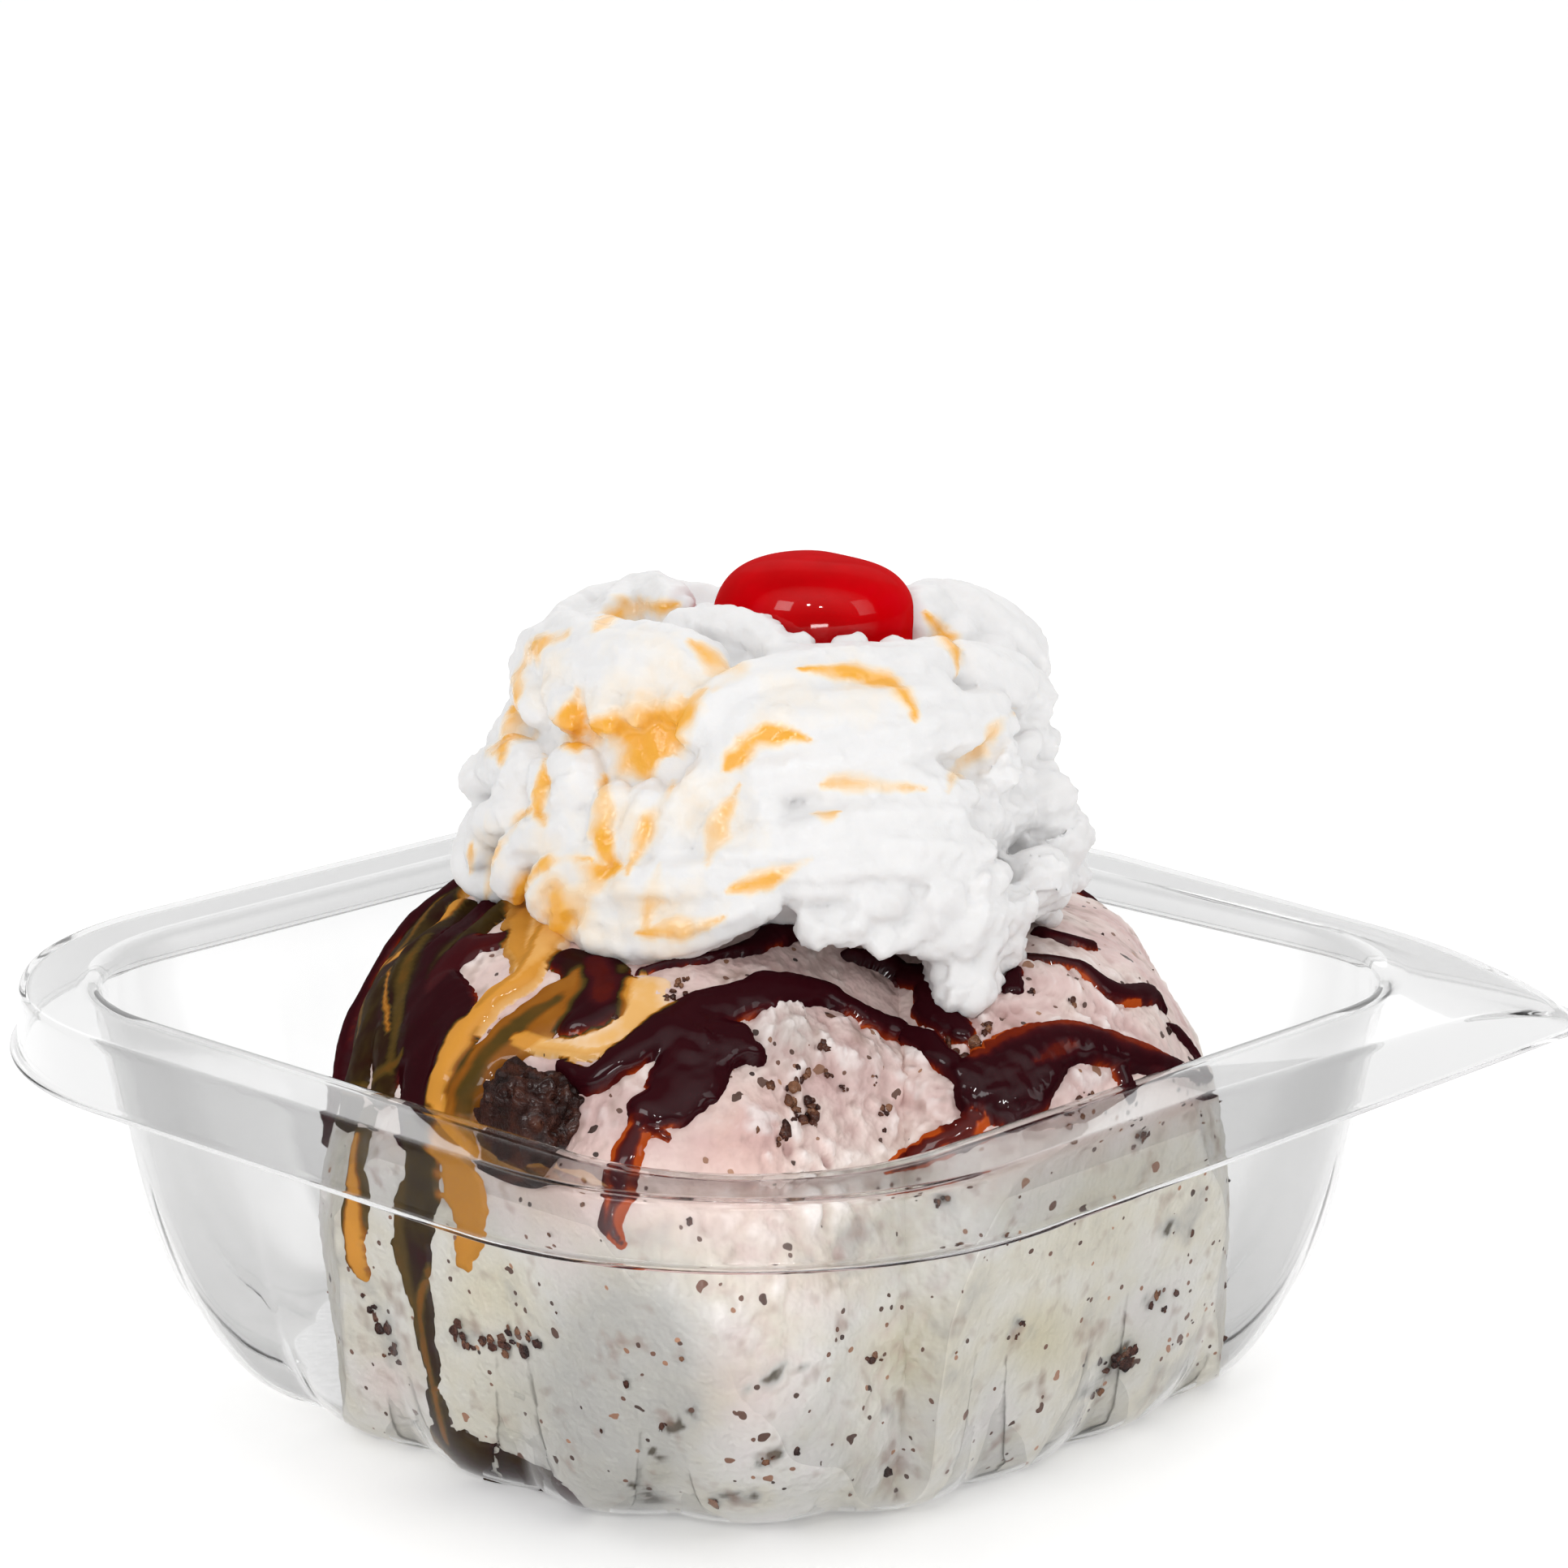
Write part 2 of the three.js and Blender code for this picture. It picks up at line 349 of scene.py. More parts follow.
def maths(tree, kind, first, second=0.0, clamp=False):
    # one sum of two values
    return put(tree, "Math", {0: first, 1: second}, operation=kind, use_clamp=clamp).outputs[0]


def addWaver(tree, value, shade, strength):
    # value plus strength times what the shade differs from its middle
    return maths(tree, "ADD", value, maths(tree, "MULTIPLY", maths(tree, "SUBTRACT", shade, 0.5), strength))


def shareOf(tree, name):
    # number given to the mesh's points by addShare
    return put(tree, "Attribute", attribute_name=name).outputs["Fac"]


def makeGrainGroup():
    # uneven shade and relief on Object coordinates, grains a metre given by Scale
    tree = bpy.data.node_groups.new("softGrain", "ShaderNodeTree")
    tree.interface.new_socket(name="Scale", in_out="INPUT", socket_type="NodeSocketFloat")
    for name in ("Shade", "Relief"):
        tree.interface.new_socket(name=name, in_out="OUTPUT", socket_type="NodeSocketFloat")
    into = tree.nodes.new("NodeGroupInput")
    out = tree.nodes.new("NodeGroupOutput")
    place = put(tree, "TexCoord").outputs["Object"]
    scale = into.outputs["Scale"]
    broad = put(tree, "TexNoise", {"Vector": place, "Scale": scale, "Detail": 3.0, "Roughness": 0.6})
    fineScale = maths(tree, "MULTIPLY", scale, 5.0)
    fine = put(tree, "TexNoise", {"Vector": place, "Scale": fineScale, "Detail": 2.0, "Roughness": 0.65})
    tree.links.new(broad.outputs["Fac"], out.inputs["Shade"])
    tree.links.new(fine.outputs["Fac"], out.inputs["Relief"])
    return tree


grainGroup = makeGrainGroup()


def grain(tree, scale):
    # the group placed in a material
    node = tree.nodes.new("ShaderNodeGroup")
    node.node_tree = grainGroup
    node.inputs["Scale"].default_value = scale
    return node.outputs["Shade"], node.outputs["Relief"]


def bump(tree, height, strength, distance):
    # shading tilted by the slope of a height
    node = put(tree, "Bump", {"Height": height, "Strength": strength, "Distance": distance})
    return node.outputs["Normal"]


def byFacing(tree, stops):
    # value by how far a surface turns away from the eye: 0 facing it, 1 edge on
    facing = put(tree, "LayerWeight", {"Blend": 0.5}).outputs["Facing"]
    return fade(tree, facing, stops)


wetSheen = [(0.06, 0.6), (0.22, 0.05)]   # coat of the wet pieces, by facing


# The bowl: rounded-square rings whose sides, corners and flutes change with height.
bowlShape = {
    # lengths in mm
    "wall": 0.8,
    "rim": 46.5,
    "openingSide": 119.5,
    "openingRadius": 25.5,
    # inside of the wall: height, side, corner radius, flute strength
    "levels": [
        (0.8, 99.5, 38.5, 0.8), (2.0, 103.5, 36.5, 1.0), (5.0, 107.0, 33.0, 0.75),
        (11.0, 110.0, 28.0, 0.4), (22.0, 113.3, 24.5, 0.16), (34.0, 116.3, 24.5, 0.04),
        (46.5, 119.5, 25.5, 0.0),
    ],
    "flutesPerSide": 5,
    "fluteDepth": 2.2,
    "channelShare": 0.06,     # of that depth, in the narrow channel at each groove
    "channelHalf": 0.082,     # of a flute's width
    "flangeSide": 140.0,
    "flangeRadius": 38.0,
    "skirtDrop": 7.5,
    "skirtFlare": 1.5,
    "skirtRadius": 42.0,
    "lipWidth": 0.8,
    "lipThickness": 0.6,
    "tabRadius": 9.0,
    "tabSlope": 0.45,
    "edgeRound": 1.1,
    "stepsPerFlute": 20,
    "wallHeights": [1.1, 2.0, 3.5, 6.0, 10.0, 15.0, 21.0, 28.0, 36.0],
    # rings in the floor: share of its width and of its flutes
    "floorRings": [(0.35, 0.0), (0.8, 0.1), (0.94, 0.6), (0.985, 0.9)],
}
bowlLook = {
    # by facing
    "tint": [(0.12, 0.97), (0.28, 0.75), (0.8, 0.78)],
    "gloss": [(0.04, 0.5), (0.16, 0.08), (0.45, 0.08), (0.66, 1.0)],
    "bending": 1.1,           # index of refraction
    "streaks": 170.0,         # a metre, drawn out upright
    "streakLength": (1.0, 1.0, 0.12),
    "haze": 0.09,
}
wallTable = curveThrough(bowlShape["levels"], 61)


def wallAt(z):
    # side, corner radius and flute strength at a height, straight between rows of a curve through the levels
    return [np.interp(z, wallTable[:, 0], wallTable[:, k]) for k in (1, 2, 3)]


def groove(phase):
    # 1 in the middle of a groove, 0 on the crown of a flute: a cusp with a narrow flat channel in it
    share, half = bowlShape["channelShare"], bowlShape["channelHalf"]
    apart = np.abs(phase - np.round(phase))
    channel = 1 - smoothStep(half * 0.8, half * 1.25, apart)
    return (1 - share) * (1 - np.abs(np.sin(np.pi * phase))) + share * channel


def outline(side, radius, corner, step):
    # straight, quarter arc, straight for each quarter turn, evenly stepped; places and outward ways
    quarter = np.floor(step).astype(int) % 4
    r = np.where(quarter == 0, corner, radius)
    straight = side / 2 - r
    arc = np.pi * r / 2
    along = (2 * straight + arc) * (step - np.floor(step))
    bend = np.clip((along - straight) / r, 0, np.pi / 2)
    x = straight + r * np.cos(bend) - np.maximum(along - straight - arc, 0)
    y = np.minimum(along, straight) + r * np.sin(bend)
    c, s = np.cos(quarter * np.pi / 2), np.sin(quarter * np.pi / 2)
    nx, ny = np.cos(bend), np.sin(bend)
    return np.stack([x * c - y * s, x * s + y * c], -1), np.stack([nx * c - ny * s, nx * s + ny * c], -1)


def bowlRing(z, side, radius, margin, flute=0.0, corner=None, slope=0.0):
    # one ring: the outline grown by a margin, drawn in at the grooves, lowered where the tab reaches out
    b = bowlShape
    step = np.arange(4 * b["flutesPerSide"] * b["stepsPerFlute"]) / (b["flutesPerSide"] * b["stepsPerFlute"])
    place, out = outline(side, radius, radius if corner is None else corner, step)
    plain, _ = outline(side, radius, radius, step)
    inset = b["fluteDepth"] * flute * groove(step * b["flutesPerSide"])
    reach = np.linalg.norm(place - plain, axis=1)
    flat = place + out * (margin - inset)[:, None]
    return np.column_stack([flat, z - slope * reach])


def cutCorners(rings, times):
    # each ring pair replaced by rings a quarter in from both, so that corners of the section turn round
    for _ in range(times):
        near = 0.75 * rings[:-1] + 0.25 * rings[1:]
        far = 0.25 * rings[:-1] + 0.75 * rings[1:]
        inner = np.stack([near, far], 1).reshape(-1, *rings.shape[1:])
        rings = np.concatenate([rings[:1], inner, rings[-1:]])
    return rings


def bowlSection():
    # rings from the middle of the underside, up the outside, over the rim and down the inside
    b = bowlShape
    t, e = b["wall"], b["edgeRound"]
    foot = b["rim"] - b["skirtDrop"]
    flange = {"radius": b["flangeRadius"], "corner": b["tabRadius"], "slope": b["tabSlope"]}
    skirt = {"radius": b["skirtRadius"], "corner": b["tabRadius"]}
    footSide = b["flangeSide"] + 2 * b["skirtFlare"]

    def floorRings(z, margin):
        side, radius, flute = b["levels"][0][1:]
        return [bowlRing(z, side * k, radius * k, margin, flute * f) for k, f in b["floorRings"]]

    def wallRings(margin, lower):
        rings = []
        for z in b["wallHeights"]:
            side, radius, flute = wallAt(z)
            rings.append(bowlRing(z - lower, side, radius, margin, flute))
        return rings

    def openingRing(z, margin):
        return bowlRing(z, b["openingSide"], b["openingRadius"], margin)

    def flangeRing(z, margin):
        return bowlRing(z, b["flangeSide"], margin=margin, **flange)

    def footRing(z, margin):
        return bowlRing(z, footSide, margin=margin, **skirt)

    def between(first, second, share):
        return first + (second - first) * share

    topIn, topOut = openingRing(b["rim"], 0), flangeRing(b["rim"], 0)
    lowIn, lowOut = openingRing(b["rim"] - t, t), flangeRing(b["rim"] - t, -t)
    skirtOut, skirtIn = footRing(foot + b["lipThickness"], 0), footRing(foot, -t)
    rings = floorRings(0.0, t * 0.6) + wallRings(t, 0.25 * t)
    rings += [openingRing(b["rim"] - t - 4 * e, t), lowIn, between(lowIn, lowOut, 0.4)]
    rings += [between(lowIn, lowOut, 0.85), lowOut, between(lowOut, skirtIn, 0.2)]
    rings += [between(lowOut, skirtIn, 0.88), skirtIn]
    rings += [footRing(foot, b["lipWidth"] * 0.5), footRing(foot, b["lipWidth"])]
    rings += [footRing(foot + b["lipThickness"], b["lipWidth"]), skirtOut]
    rings += [between(skirtOut, topOut, 0.12), between(skirtOut, topOut, 0.8), topOut]
    rings += [between(topOut, topIn, 0.12), between(topOut, topIn, 0.6), topIn]
    rings += [openingRing(b["rim"] - 4 * e, 0)]
    rings += wallRings(0, 0)[::-1] + floorRings(t, 0)[::-1]
    return cutCorners(np.array(rings), 2)


def wallOut(p):
    # how far outside the inner wall a heap point is: distance to the rounded square there, plus the groove
    b = bowlShape
    q = np.abs(toBowl(p)[:, :2])
    side, radius, flute = wallAt(p[:, 2])
    straight = side / 2 - radius
    over = q - straight[:, None]
    apart = np.hypot(*np.maximum(over, 0).T) + np.minimum(over.max(1), 0) - radius
    length = 2 * straight + np.pi * radius / 2
    inCorner = (over > 0).all(1)
    bend = np.arctan2(np.maximum(over[:, 1], 0), np.maximum(over[:, 0], 1e-6))
    flat = np.where(q[:, 0] > q[:, 1], q[:, 1], length - q[:, 0])
    along = np.where(inCorner, straight + radius * bend, flat)
    return apart + b["fluteDepth"] * flute * groove(along / length * b["flutesPerSide"])


def wallSlope(p):
    # change of that distance for a step to the right and a step away
    small = 0.05
    here = wallOut(p)
    return np.stack([wallOut(p + small * way) - here for way in np.eye(3)[:2]], -1) / small


def keepInBowl(p, reach):
    # points past the inner wall by more than reach are moved straight back, and none is under the floor
    p = p.copy()
    p[:, 2] = np.maximum(p[:, 2], bowlShape["wall"] - reach)
    for _ in range(3):
        past = wallOut(p) - reach
        todo = np.flatnonzero((past > 0) & (p[:, 2] < bowlShape["rim"] + 2))
        if len(todo) == 0:
            break
        p[todo, :2] -= wallSlope(p[todo]) * past[todo, None]
    return p


def makePlastic():
    # clear and glossy, greyer where it turns away; light for the heap passes straight through
    look = bowlLook
    material, tree, shader = newMaterial("clearPlastic")
    place = put(tree, "TexCoord").outputs["Object"]
    drawn = put(tree, "Mapping", {"Vector": place, "Scale": look["streakLength"]}).outputs["Vector"]
    streak = put(tree, "TexNoise", {"Vector": drawn, "Scale": look["streaks"], "Detail": 1.0}).outputs["Fac"]
    setShader(tree, shader, Base_Color=byFacing(tree, look["tint"]), Transmission_Weight=1.0,
              IOR=look["bending"], Coat_Weight=byFacing(tree, look["gloss"]), Coat_Roughness=0.03,
              Roughness=maths(tree, "MULTIPLY", streak, look["haze"]))
    clear = put(tree, "BsdfTransparent", {"Color": (1.0, 1.0, 1.0, 1)})
    shadow = put(tree, "LightPath").outputs["Is Shadow Ray"]
    mixed = put(tree, "MixShader", {0: shadow, 1: shader.outputs[0], 2: clear.outputs[0]})
    tree.links.new(mixed.outputs[0], tree.nodes["Material Output"].inputs[0])
    return material


bowlMesh = closedMesh("clear_bowl", bowlSection(), lambda p: p * milli)
addPiece("clear_bowl", bowlMesh, makePlastic(), ["bowl"])


# The scoops: bodies between a ball and a block, lumpy and crumbly, pressed against the wall.
scoopShapes = {
    # reach is how far into the wall the ice cream goes, mm
    "scoop_left": {"center": (-8, -15, 20), "radii": (38.5, 55.5, 43), "reach": 0.2, "columns": 590},
    "scoop_right": {"center": (27, -12, 18), "radii": (28.5, 47, 39.5), "reach": 0.15, "columns": 520},
}
iceCream = {
    "power": 2.5,
    "lump": 1.3,           # mm, slow swelling
    "lumpSize": 17.0,
    "crumb": 1.25,         # mm, clumps in the crumbly places
    "crumbSize": 3.2,
    "quietCrumb": 0.22,    # share of that everywhere else
    "patch": 0.35,         # and the share added in patches
    "patchSize": 13.0,
    "pull": 1.3,           # mm that the clumps are drawn out of shape
    "pit": 0.8,            # mm
    "pitSize": 3.6,
    "ice": 0.10,           # mm, finest roughness
    "iceSize": 1.3,
    "pressed": 0.9,        # share of the fine relief that the wall presses flat
    # rows of the grid in degrees, close together where they are seen
    "under": [-80, -55, -38, -29],
    "shown": (-25, 62, 150),     # from, to, how many
    "over": [65, 69, 74, 80, 86],
    # crumbly places: picture point and radius in mm
    "crumbly": [
        (1040, 1320, 11), (1110, 1350, 8), (975, 1275, 8), (1330, 1220, 8), (1180, 1290, 7),
        (960, 1400, 5), (1340, 1385, 8), (560, 1330, 6), (1000, 1430, 8),
    ],
    # stains: picture point, radius in mm, then how grey and how pink (yellow under 0)
    "stains": [
        (780, 1640, 8, 0.9, 0), (765, 1720, 9, 0.9, 0), (760, 1805, 8, 0.9, 0), (905, 1700, 5, 0, 0.8),
        (1000, 1560, 7, 0, 0.5), (600, 1590, 5, 0, -0.7), (1110, 1664, 5, 0, -0.7),
        (1280, 1648, 4, 0.2, -1.0), (1200, 1740, 8, 0.35, 0), (1420, 1640, 8, 0.4, 0),
        (1350, 1500, 7, 0.2, -0.3), (700, 1480, 8, 0, 0.7), (900, 1500, 8, 0, 0.8),
        (1010, 1800, 6, 0.3, 0), (620, 1720, 6, 0.3, -0.4), (480, 1700, 4, 0.1, 0.6),
        (920, 1400, 5, 0.1, 0.9), (1050, 1300, 6, 0.3, 0.3), (960, 1270, 4, 0.6, 0.1),
        (1375, 1668, 2.6, 0.5, -0.8), (812, 1811, 1.0, 0, -3.0),
    ],
    # smears: way in the picture, radius in mm and how dark
    "smears": [
        ([(862, 1712), (858, 1732)], 0.5, 1.3), ([(850, 1745), (828, 1756)], 1.1, 2.2),
        ([(914, 1714), (926, 1706)], 0.4, 1.4), ([(944, 1697), (966, 1688)], 0.9, 1.9),
        ([(984, 1684), (994, 1683)], 0.4, 1.3), ([(782, 1834), (800, 1842)], 1.2, 2.2),
        ([(880, 1844), (930, 1842)], 0.8, 1.5), ([(936, 1799), (958, 1790)], 0.8, 1.8),
        ([(806, 1788), (818, 1797)], 0.9, 2.1), ([(1092, 1738), (1099, 1750)], 0.7, 1.1),
        ([(1364, 1678), (1384, 1666)], 1.9, 2.0), ([(1242, 1640), (1254, 1626)], 0.6, 1.3),
        ([(1412, 1602), (1428, 1594)], 0.8, 1.4), ([(1436, 1516), (1444, 1508)], 1.0, 1.8),
        ([(1155, 1474), (1172, 1482)], 1.0, 1.3), ([(756, 1506), (766, 1530)], 1.2, 1.2),
        ([(984, 1560), (1006, 1553)], 1.1, 0.9), ([(1330, 1720), (1340, 1710)], 0.7, 1.4),
        ([(560, 1650), (660, 1652)], 1.1, 1.0), ([(470, 1612), (490, 1676)], 1.0, 1.2),
    ],
    # bulges: picture point, radius and height in mm
    "bulges": [
        (915, 1405, 5.0, 2.4), (840, 1430, 4.5, 1.2), (1050, 1290, 4.5, 1.6), (1120, 1330, 5, 1.4),
        (960, 1265, 4, 1.2), (1310, 1215, 4, 1.3), (900, 1200, 9, 1.0), (640, 1415, 5.5, -4.0),
    ],
}
iceCreamLook = {
    "grain": 90.0,         # a metre
    "warm": [(0.30, (0.56, 0.36, 0.34)), (0.45, (0.70, 0.52, 0.49)), (0.58, (0.75, 0.61, 0.56)),
             (0.72, (0.84, 0.735, 0.70))],
    # pale: the same ice cream greyer and darker, painted shade for the part behind the wall and flange
    "pale": [(0.30, (0.45, 0.435, 0.40)), (0.42, (0.62, 0.59, 0.51)), (0.55, (0.66, 0.645, 0.605)),
             (0.7, (0.71, 0.675, 0.66))],
    "warmAbove": [(0.36, 0), (0.46, 1)],     # height in tenths of a metre, pale below it
    "blush": [(0.0, (0.88, 0.82, 0.58)), (0.5, (1, 1, 1)), (1.0, (0.93, 0.76, 0.73))],
    "ash": [(0.5, (0.40, 0.395, 0.375)), (0.85, (0.09, 0.075, 0.055))],
    # painted shade for the creases and painted light for the crowns of the crumbs
    "creaseShade": (0.45, 0.27, 0.25),
    "crownLight": (0.93, 0.88, 0.86),
    "dust": (0.27, 0.17, 0.13),
    "dustGrain": 210.0,
    # specks: cells a metre, size in cells, share of the cells without one
    "specks": [(300.0, 0.2, 0.8), (700.0, 0.22, 0.82)],
    "speckColors": [(0.0, (0.035, 0.016, 0.012)), (0.7, (0.16, 0.07, 0.045)), (1.0, (0.42, 0.21, 0.12))],
}


def scoopRay(ways, start, center, radii):
    # distance along straight ways from start to the body's skin, found by halving
    far = np.full(len(ways), 120.0)
    near = np.zeros(len(ways))
    for _ in range(30):
        mid = 0.5 * (near + far)
        inside = scoopValue(start + ways * mid[:, None], center, radii) < 1
        near = np.where(inside, mid, near)
        far = np.where(inside, far, mid)
    return near


def scoopValue(p, center, radii):
    # power sum of the flat radius and the height, each over the body's own; 1 on the skin
    q = np.abs((p - np.array(center)) / np.array(radii))
    n = iceCream["power"]
    return (np.hypot(q[..., 0], q[..., 1]) ** n + q[..., 2] ** n) ** (1 / n)


def scoopOut(p, center, radii):
    # slope of that power sum, as a unit outward way
    q = (p - np.array(center)) / np.array(radii)
    n = iceCream["power"]
    flat = np.hypot(q[..., 0], q[..., 1])[..., None]
    way = np.concatenate([q[..., :2] * np.maximum(flat, 1e-6) ** (n - 2),
                          np.sign(q[..., 2:]) * np.abs(q[..., 2:]) ** (n - 1)], -1)
    return unit(way / np.array(radii))


bodies = [(s["center"], s["radii"]) for s in scoopShapes.values()]


def heapSkin(ways):
    # skin of both bodies seen from the heap's middle: the farther of the two, with its outward way
    reaches = np.stack([scoopRay(ways, heapMiddle, *body) for body in bodies])
    far = reaches.argmax(0)
    points = heapMiddle + ways * reaches.max(0)[:, None]
    outs = np.stack([scoopOut(points, *body) for body in bodies])
    return points, outs[far, np.arange(len(ways))]


def heapValue(p):
    # power sum of the body that holds the point more deeply
    return np.minimum(*[scoopValue(p, *body) for body in bodies])


def pictureHits(spots):
    # first place where the line of sight enters the heap inside the wall, or comes nearest to it
    p = sightPoints(spots, *view["heapSight"])
    depth = heapValue(p)
    walls = wallOut(p.reshape(-1, 3)).reshape(depth.shape)
    return firstInside(p, np.maximum(depth, 1 + np.maximum(walls, 0) * 0.02), 1)


def pictureToHeap(spots):
    # the same place on the skin before the wall presses it in: straight out from the wall to the bodies' skin
    hits = pictureHits(spots)
    away = unit(np.column_stack([wallSlope(hits), np.zeros(len(hits))]))
    p = hits[:, None] + away[:, None] * np.arange(0, 30, 0.1)[None, :, None]
    pushed = p[np.arange(len(hits)), (heapValue(p) >= 1).argmax(1)]
    return heapSkin(unit(pushed - heapMiddle))[0]


def spread(p, spots, radii):
    # for each point, how close it is to each spot: 1 on it, fading to 0 at about twice the radius
    apart = np.linalg.norm(p[:, None] - spots[None], axis=2)
    return np.exp(-(apart / radii) ** 2)


crumbly = np.array(iceCream["crumbly"], float)
crumblySpots, crumblyRadii = pictureToHeap(crumbly[:, :2]), crumbly[:, 2]
bulges = np.array(iceCream["bulges"], float)
bulgeSpots, bulgeRadii, bulgeHeights = pictureToHeap(bulges[:, :2]), bulges[:, 2], bulges[:, 3]


def stainShares(p, out):
    # grey and blush of skin that faces the eye, by how close it is in the picture to each stain and smear
    x, y = toPicture(p)
    apart = np.linalg.norm(p - np.array(view["place"]), axis=1)
    seen = smoothStep(0.0, 0.2, (out * unit(np.array(view["place"]) - p)).sum(1))

    def near(across, down, radius):
        return seen * np.exp(-((x - across) ** 2 + (y - down) ** 2) * (apart / view["focal"] / radius) ** 2)

    grey, blush, dark = np.zeros((3, len(p)))
    for across, down, radius, ash, pink in iceCream["stains"]:
        share = near(across, down, radius)
        grey += share * ash
        blush += share * pink
    for way, radius, ash in iceCream["smears"]:
        for spot in curveThrough(way, 8 * len(way)):
            dark = np.maximum(dark, near(*spot, radius) * ash)
    dark *= np.clip(0.75 + 0.9 * layered(p, 1.6, 2, 33), 0.1, 1.2)
    return np.clip(0.5 * np.maximum(np.minimum(grey, 1), dark), 0, 1), np.clip(0.5 + 0.5 * blush, 0, 1)


def slowRelief(p):
    # swelling of the heap in mm: layered noise and the bulges
    bulge = spread(p, bulgeSpots, bulgeRadii) * bulgeHeights
    lumps = iceCream["lump"] * layered(p, iceCream["lumpSize"], 2, 3)
    return lumps + bulge.max(1) + np.minimum(bulge.min(1), 0)


def crumbShare(p):
    # 0 smooth to 1 crumbly: a little everywhere, more in patches, most at the crumbly places
    patches = iceCream["patch"] * smoothStep(0.1, 0.7, layered(p, iceCream["patchSize"], 2, 61))
    return np.clip(iceCream["quietCrumb"] + patches + spread(p, crumblySpots, crumblyRadii).max(1), 0, 1)


def fineRelief(p):
    # in mm: clumps less the gaps between them, less pits, plus icy roughness
    s = iceCream
    share = crumbShare(p)
    pulled = p + s["pull"] * np.stack([noise(p / 4.5, seed) for seed in (101, 103, 105)], -1)
    clumps = 0.95 * crumbs(pulled, s["crumbSize"], 3, 21) - 0.25 * cellGap(p, s["crumbSize"], 23) - 0.25
    pits = smoothStep(0.30, 0.12, cellGap(p, s["pitSize"], 5)) * smoothStep(0.0, 0.5, noise(p / 9.0, 8))
    return share * s["crumb"] * clumps - s["pit"] * share * pits + s["ice"] * layered(p, s["iceSize"], 2, 31)


def scoopPoints(shape):
    # skin on a grid of turn and rise, lifted along its outward way by the relief, then kept in the bowl
    body = shape["center"], shape["radii"]
    shown = np.linspace(*iceCream["shown"])
    rise = np.radians(np.concatenate([iceCream["under"], shown, iceCream["over"]]))
    grid = roundBlock(rise, turns(shape["columns"]), iceCream["power"])
    p = grid.reshape(-1, 3) * np.array(shape["radii"]) + np.array(shape["center"])
    pressed = smoothStep(-2.0, 0.3, wallOut(p)) * (p[:, 2] < bowlShape["rim"])
    fine = fineRelief(p) * (1 - iceCream["pressed"] * pressed)
    out = scoopOut(p, *body)
    kept = keepInBowl(p + out * (slowRelief(p) + fine)[:, None], shape["reach"])
    grey, blush = stainShares(kept, out)
    # rise: height of the fine relief, which places the painted crease shade and crown light
    shares = {"rise": np.clip(0.5 + fine / 1.6, 0, 1), "grey": grey, "blush": blush}
    return kept.reshape(grid.shape), shares


def makeIceCream():
    # warm above the rim and pale behind the wall as painted shade, with stains, creases and crowns as painted
    # shade and light, cookie dust and specks
    look = iceCreamLook
    material, tree, shader = newMaterial("cookieIceCream")
    place = put(tree, "TexCoord").outputs["Object"]
    shade, relief = grain(tree, look["grain"])
    # warm is the ice cream's own colour; pale is painted shade, used below the rim by height
    warm = ramp(tree, shade, look["warm"])
    pale = ramp(tree, shade, look["pale"])
    high = maths(tree, "MULTIPLY", put(tree, "SeparateXYZ", {0: place}).outputs[2], 10.0)
    tint = blendColor(tree, fade(tree, high, look["warmAbove"]), pale, warm)
    # stains, each broken up by the grain
    uneven = fade(tree, shade, [(0.35, 0.5), (0.6, 1)])
    tint = blendColor(tree, uneven, tint, ramp(tree, shareOf(tree, "blush"), look["blush"]), "MULTIPLY")
    ash = addWaver(tree, shareOf(tree, "grey"), shade, 0.3)
    ashen = fade(tree, ash, [(0.06, 0), (0.5, 0.8), (0.8, 1)])
    tint = blendColor(tree, ashen, tint, ramp(tree, ash, look["ash"]))
    # painted shade makes the creases darker and redder, painted light makes the crowns of the crumbs whiter
    rise = shareOf(tree, "rise")
    tint = blendColor(tree, fade(tree, rise, [(0.15, 0.75), (0.5, 0)]), tint, look["creaseShade"])
    tint = blendColor(tree, fade(tree, rise, [(0.55, 0), (0.85, 0.6)]), tint, look["crownLight"])
    # smears of cookie dust, then specks in some of the cells
    dust = put(tree, "TexNoise", {"Vector": place, "Scale": look["dustGrain"], "Detail": 2.0,
                                  "Roughness": 0.75}).outputs["Fac"]
    tint = blendColor(tree, fade(tree, dust, [(0.57, 0), (0.74, 0.6)]), tint, look["dust"])
    wobble = put(tree, "CombineXYZ", {0: relief, 1: dust, 2: shade}).outputs[0]
    for scale, size, plain in look["specks"]:
        small = (0.9 / scale,) * 3
        moved = put(tree, "VectorMath", {0: wobble, 1: small, 2: place}, operation="MULTIPLY_ADD")
        cells = put(tree, "TexVoronoi", {"Vector": moved.outputs[0], "Scale": scale})
        pick = put(tree, "SeparateColor", {0: cells.outputs["Color"]})
        speck = maths(tree, "MULTIPLY", maths(tree, "LESS_THAN", cells.outputs["Distance"], size),
                      maths(tree, "GREATER_THAN", pick.outputs[0], plain))
        tint = blendColor(tree, speck, tint, ramp(tree, pick.outputs[1], look["speckColors"]))
    setShader(tree, shader, Base_Color=tint, Roughness=fade(tree, dust, [(0.3, 0.32), (0.7, 0.55)]),
              Normal=bump(tree, relief, 0.8, 0.0006))
    return material


iceCreamFinish = makeIceCream()
for nodeName, shape in scoopShapes.items():
    rings, shares = scoopPoints(shape)
    mesh = closedMesh(nodeName, rings)
    for share, values in shares.items():
        addShare(mesh, share, np.append(values, [0.5, 0.5]))   # the two poles last
    addPiece("ice_cream_" + nodeName.split("_")[1], mesh, iceCreamFinish, [nodeName])


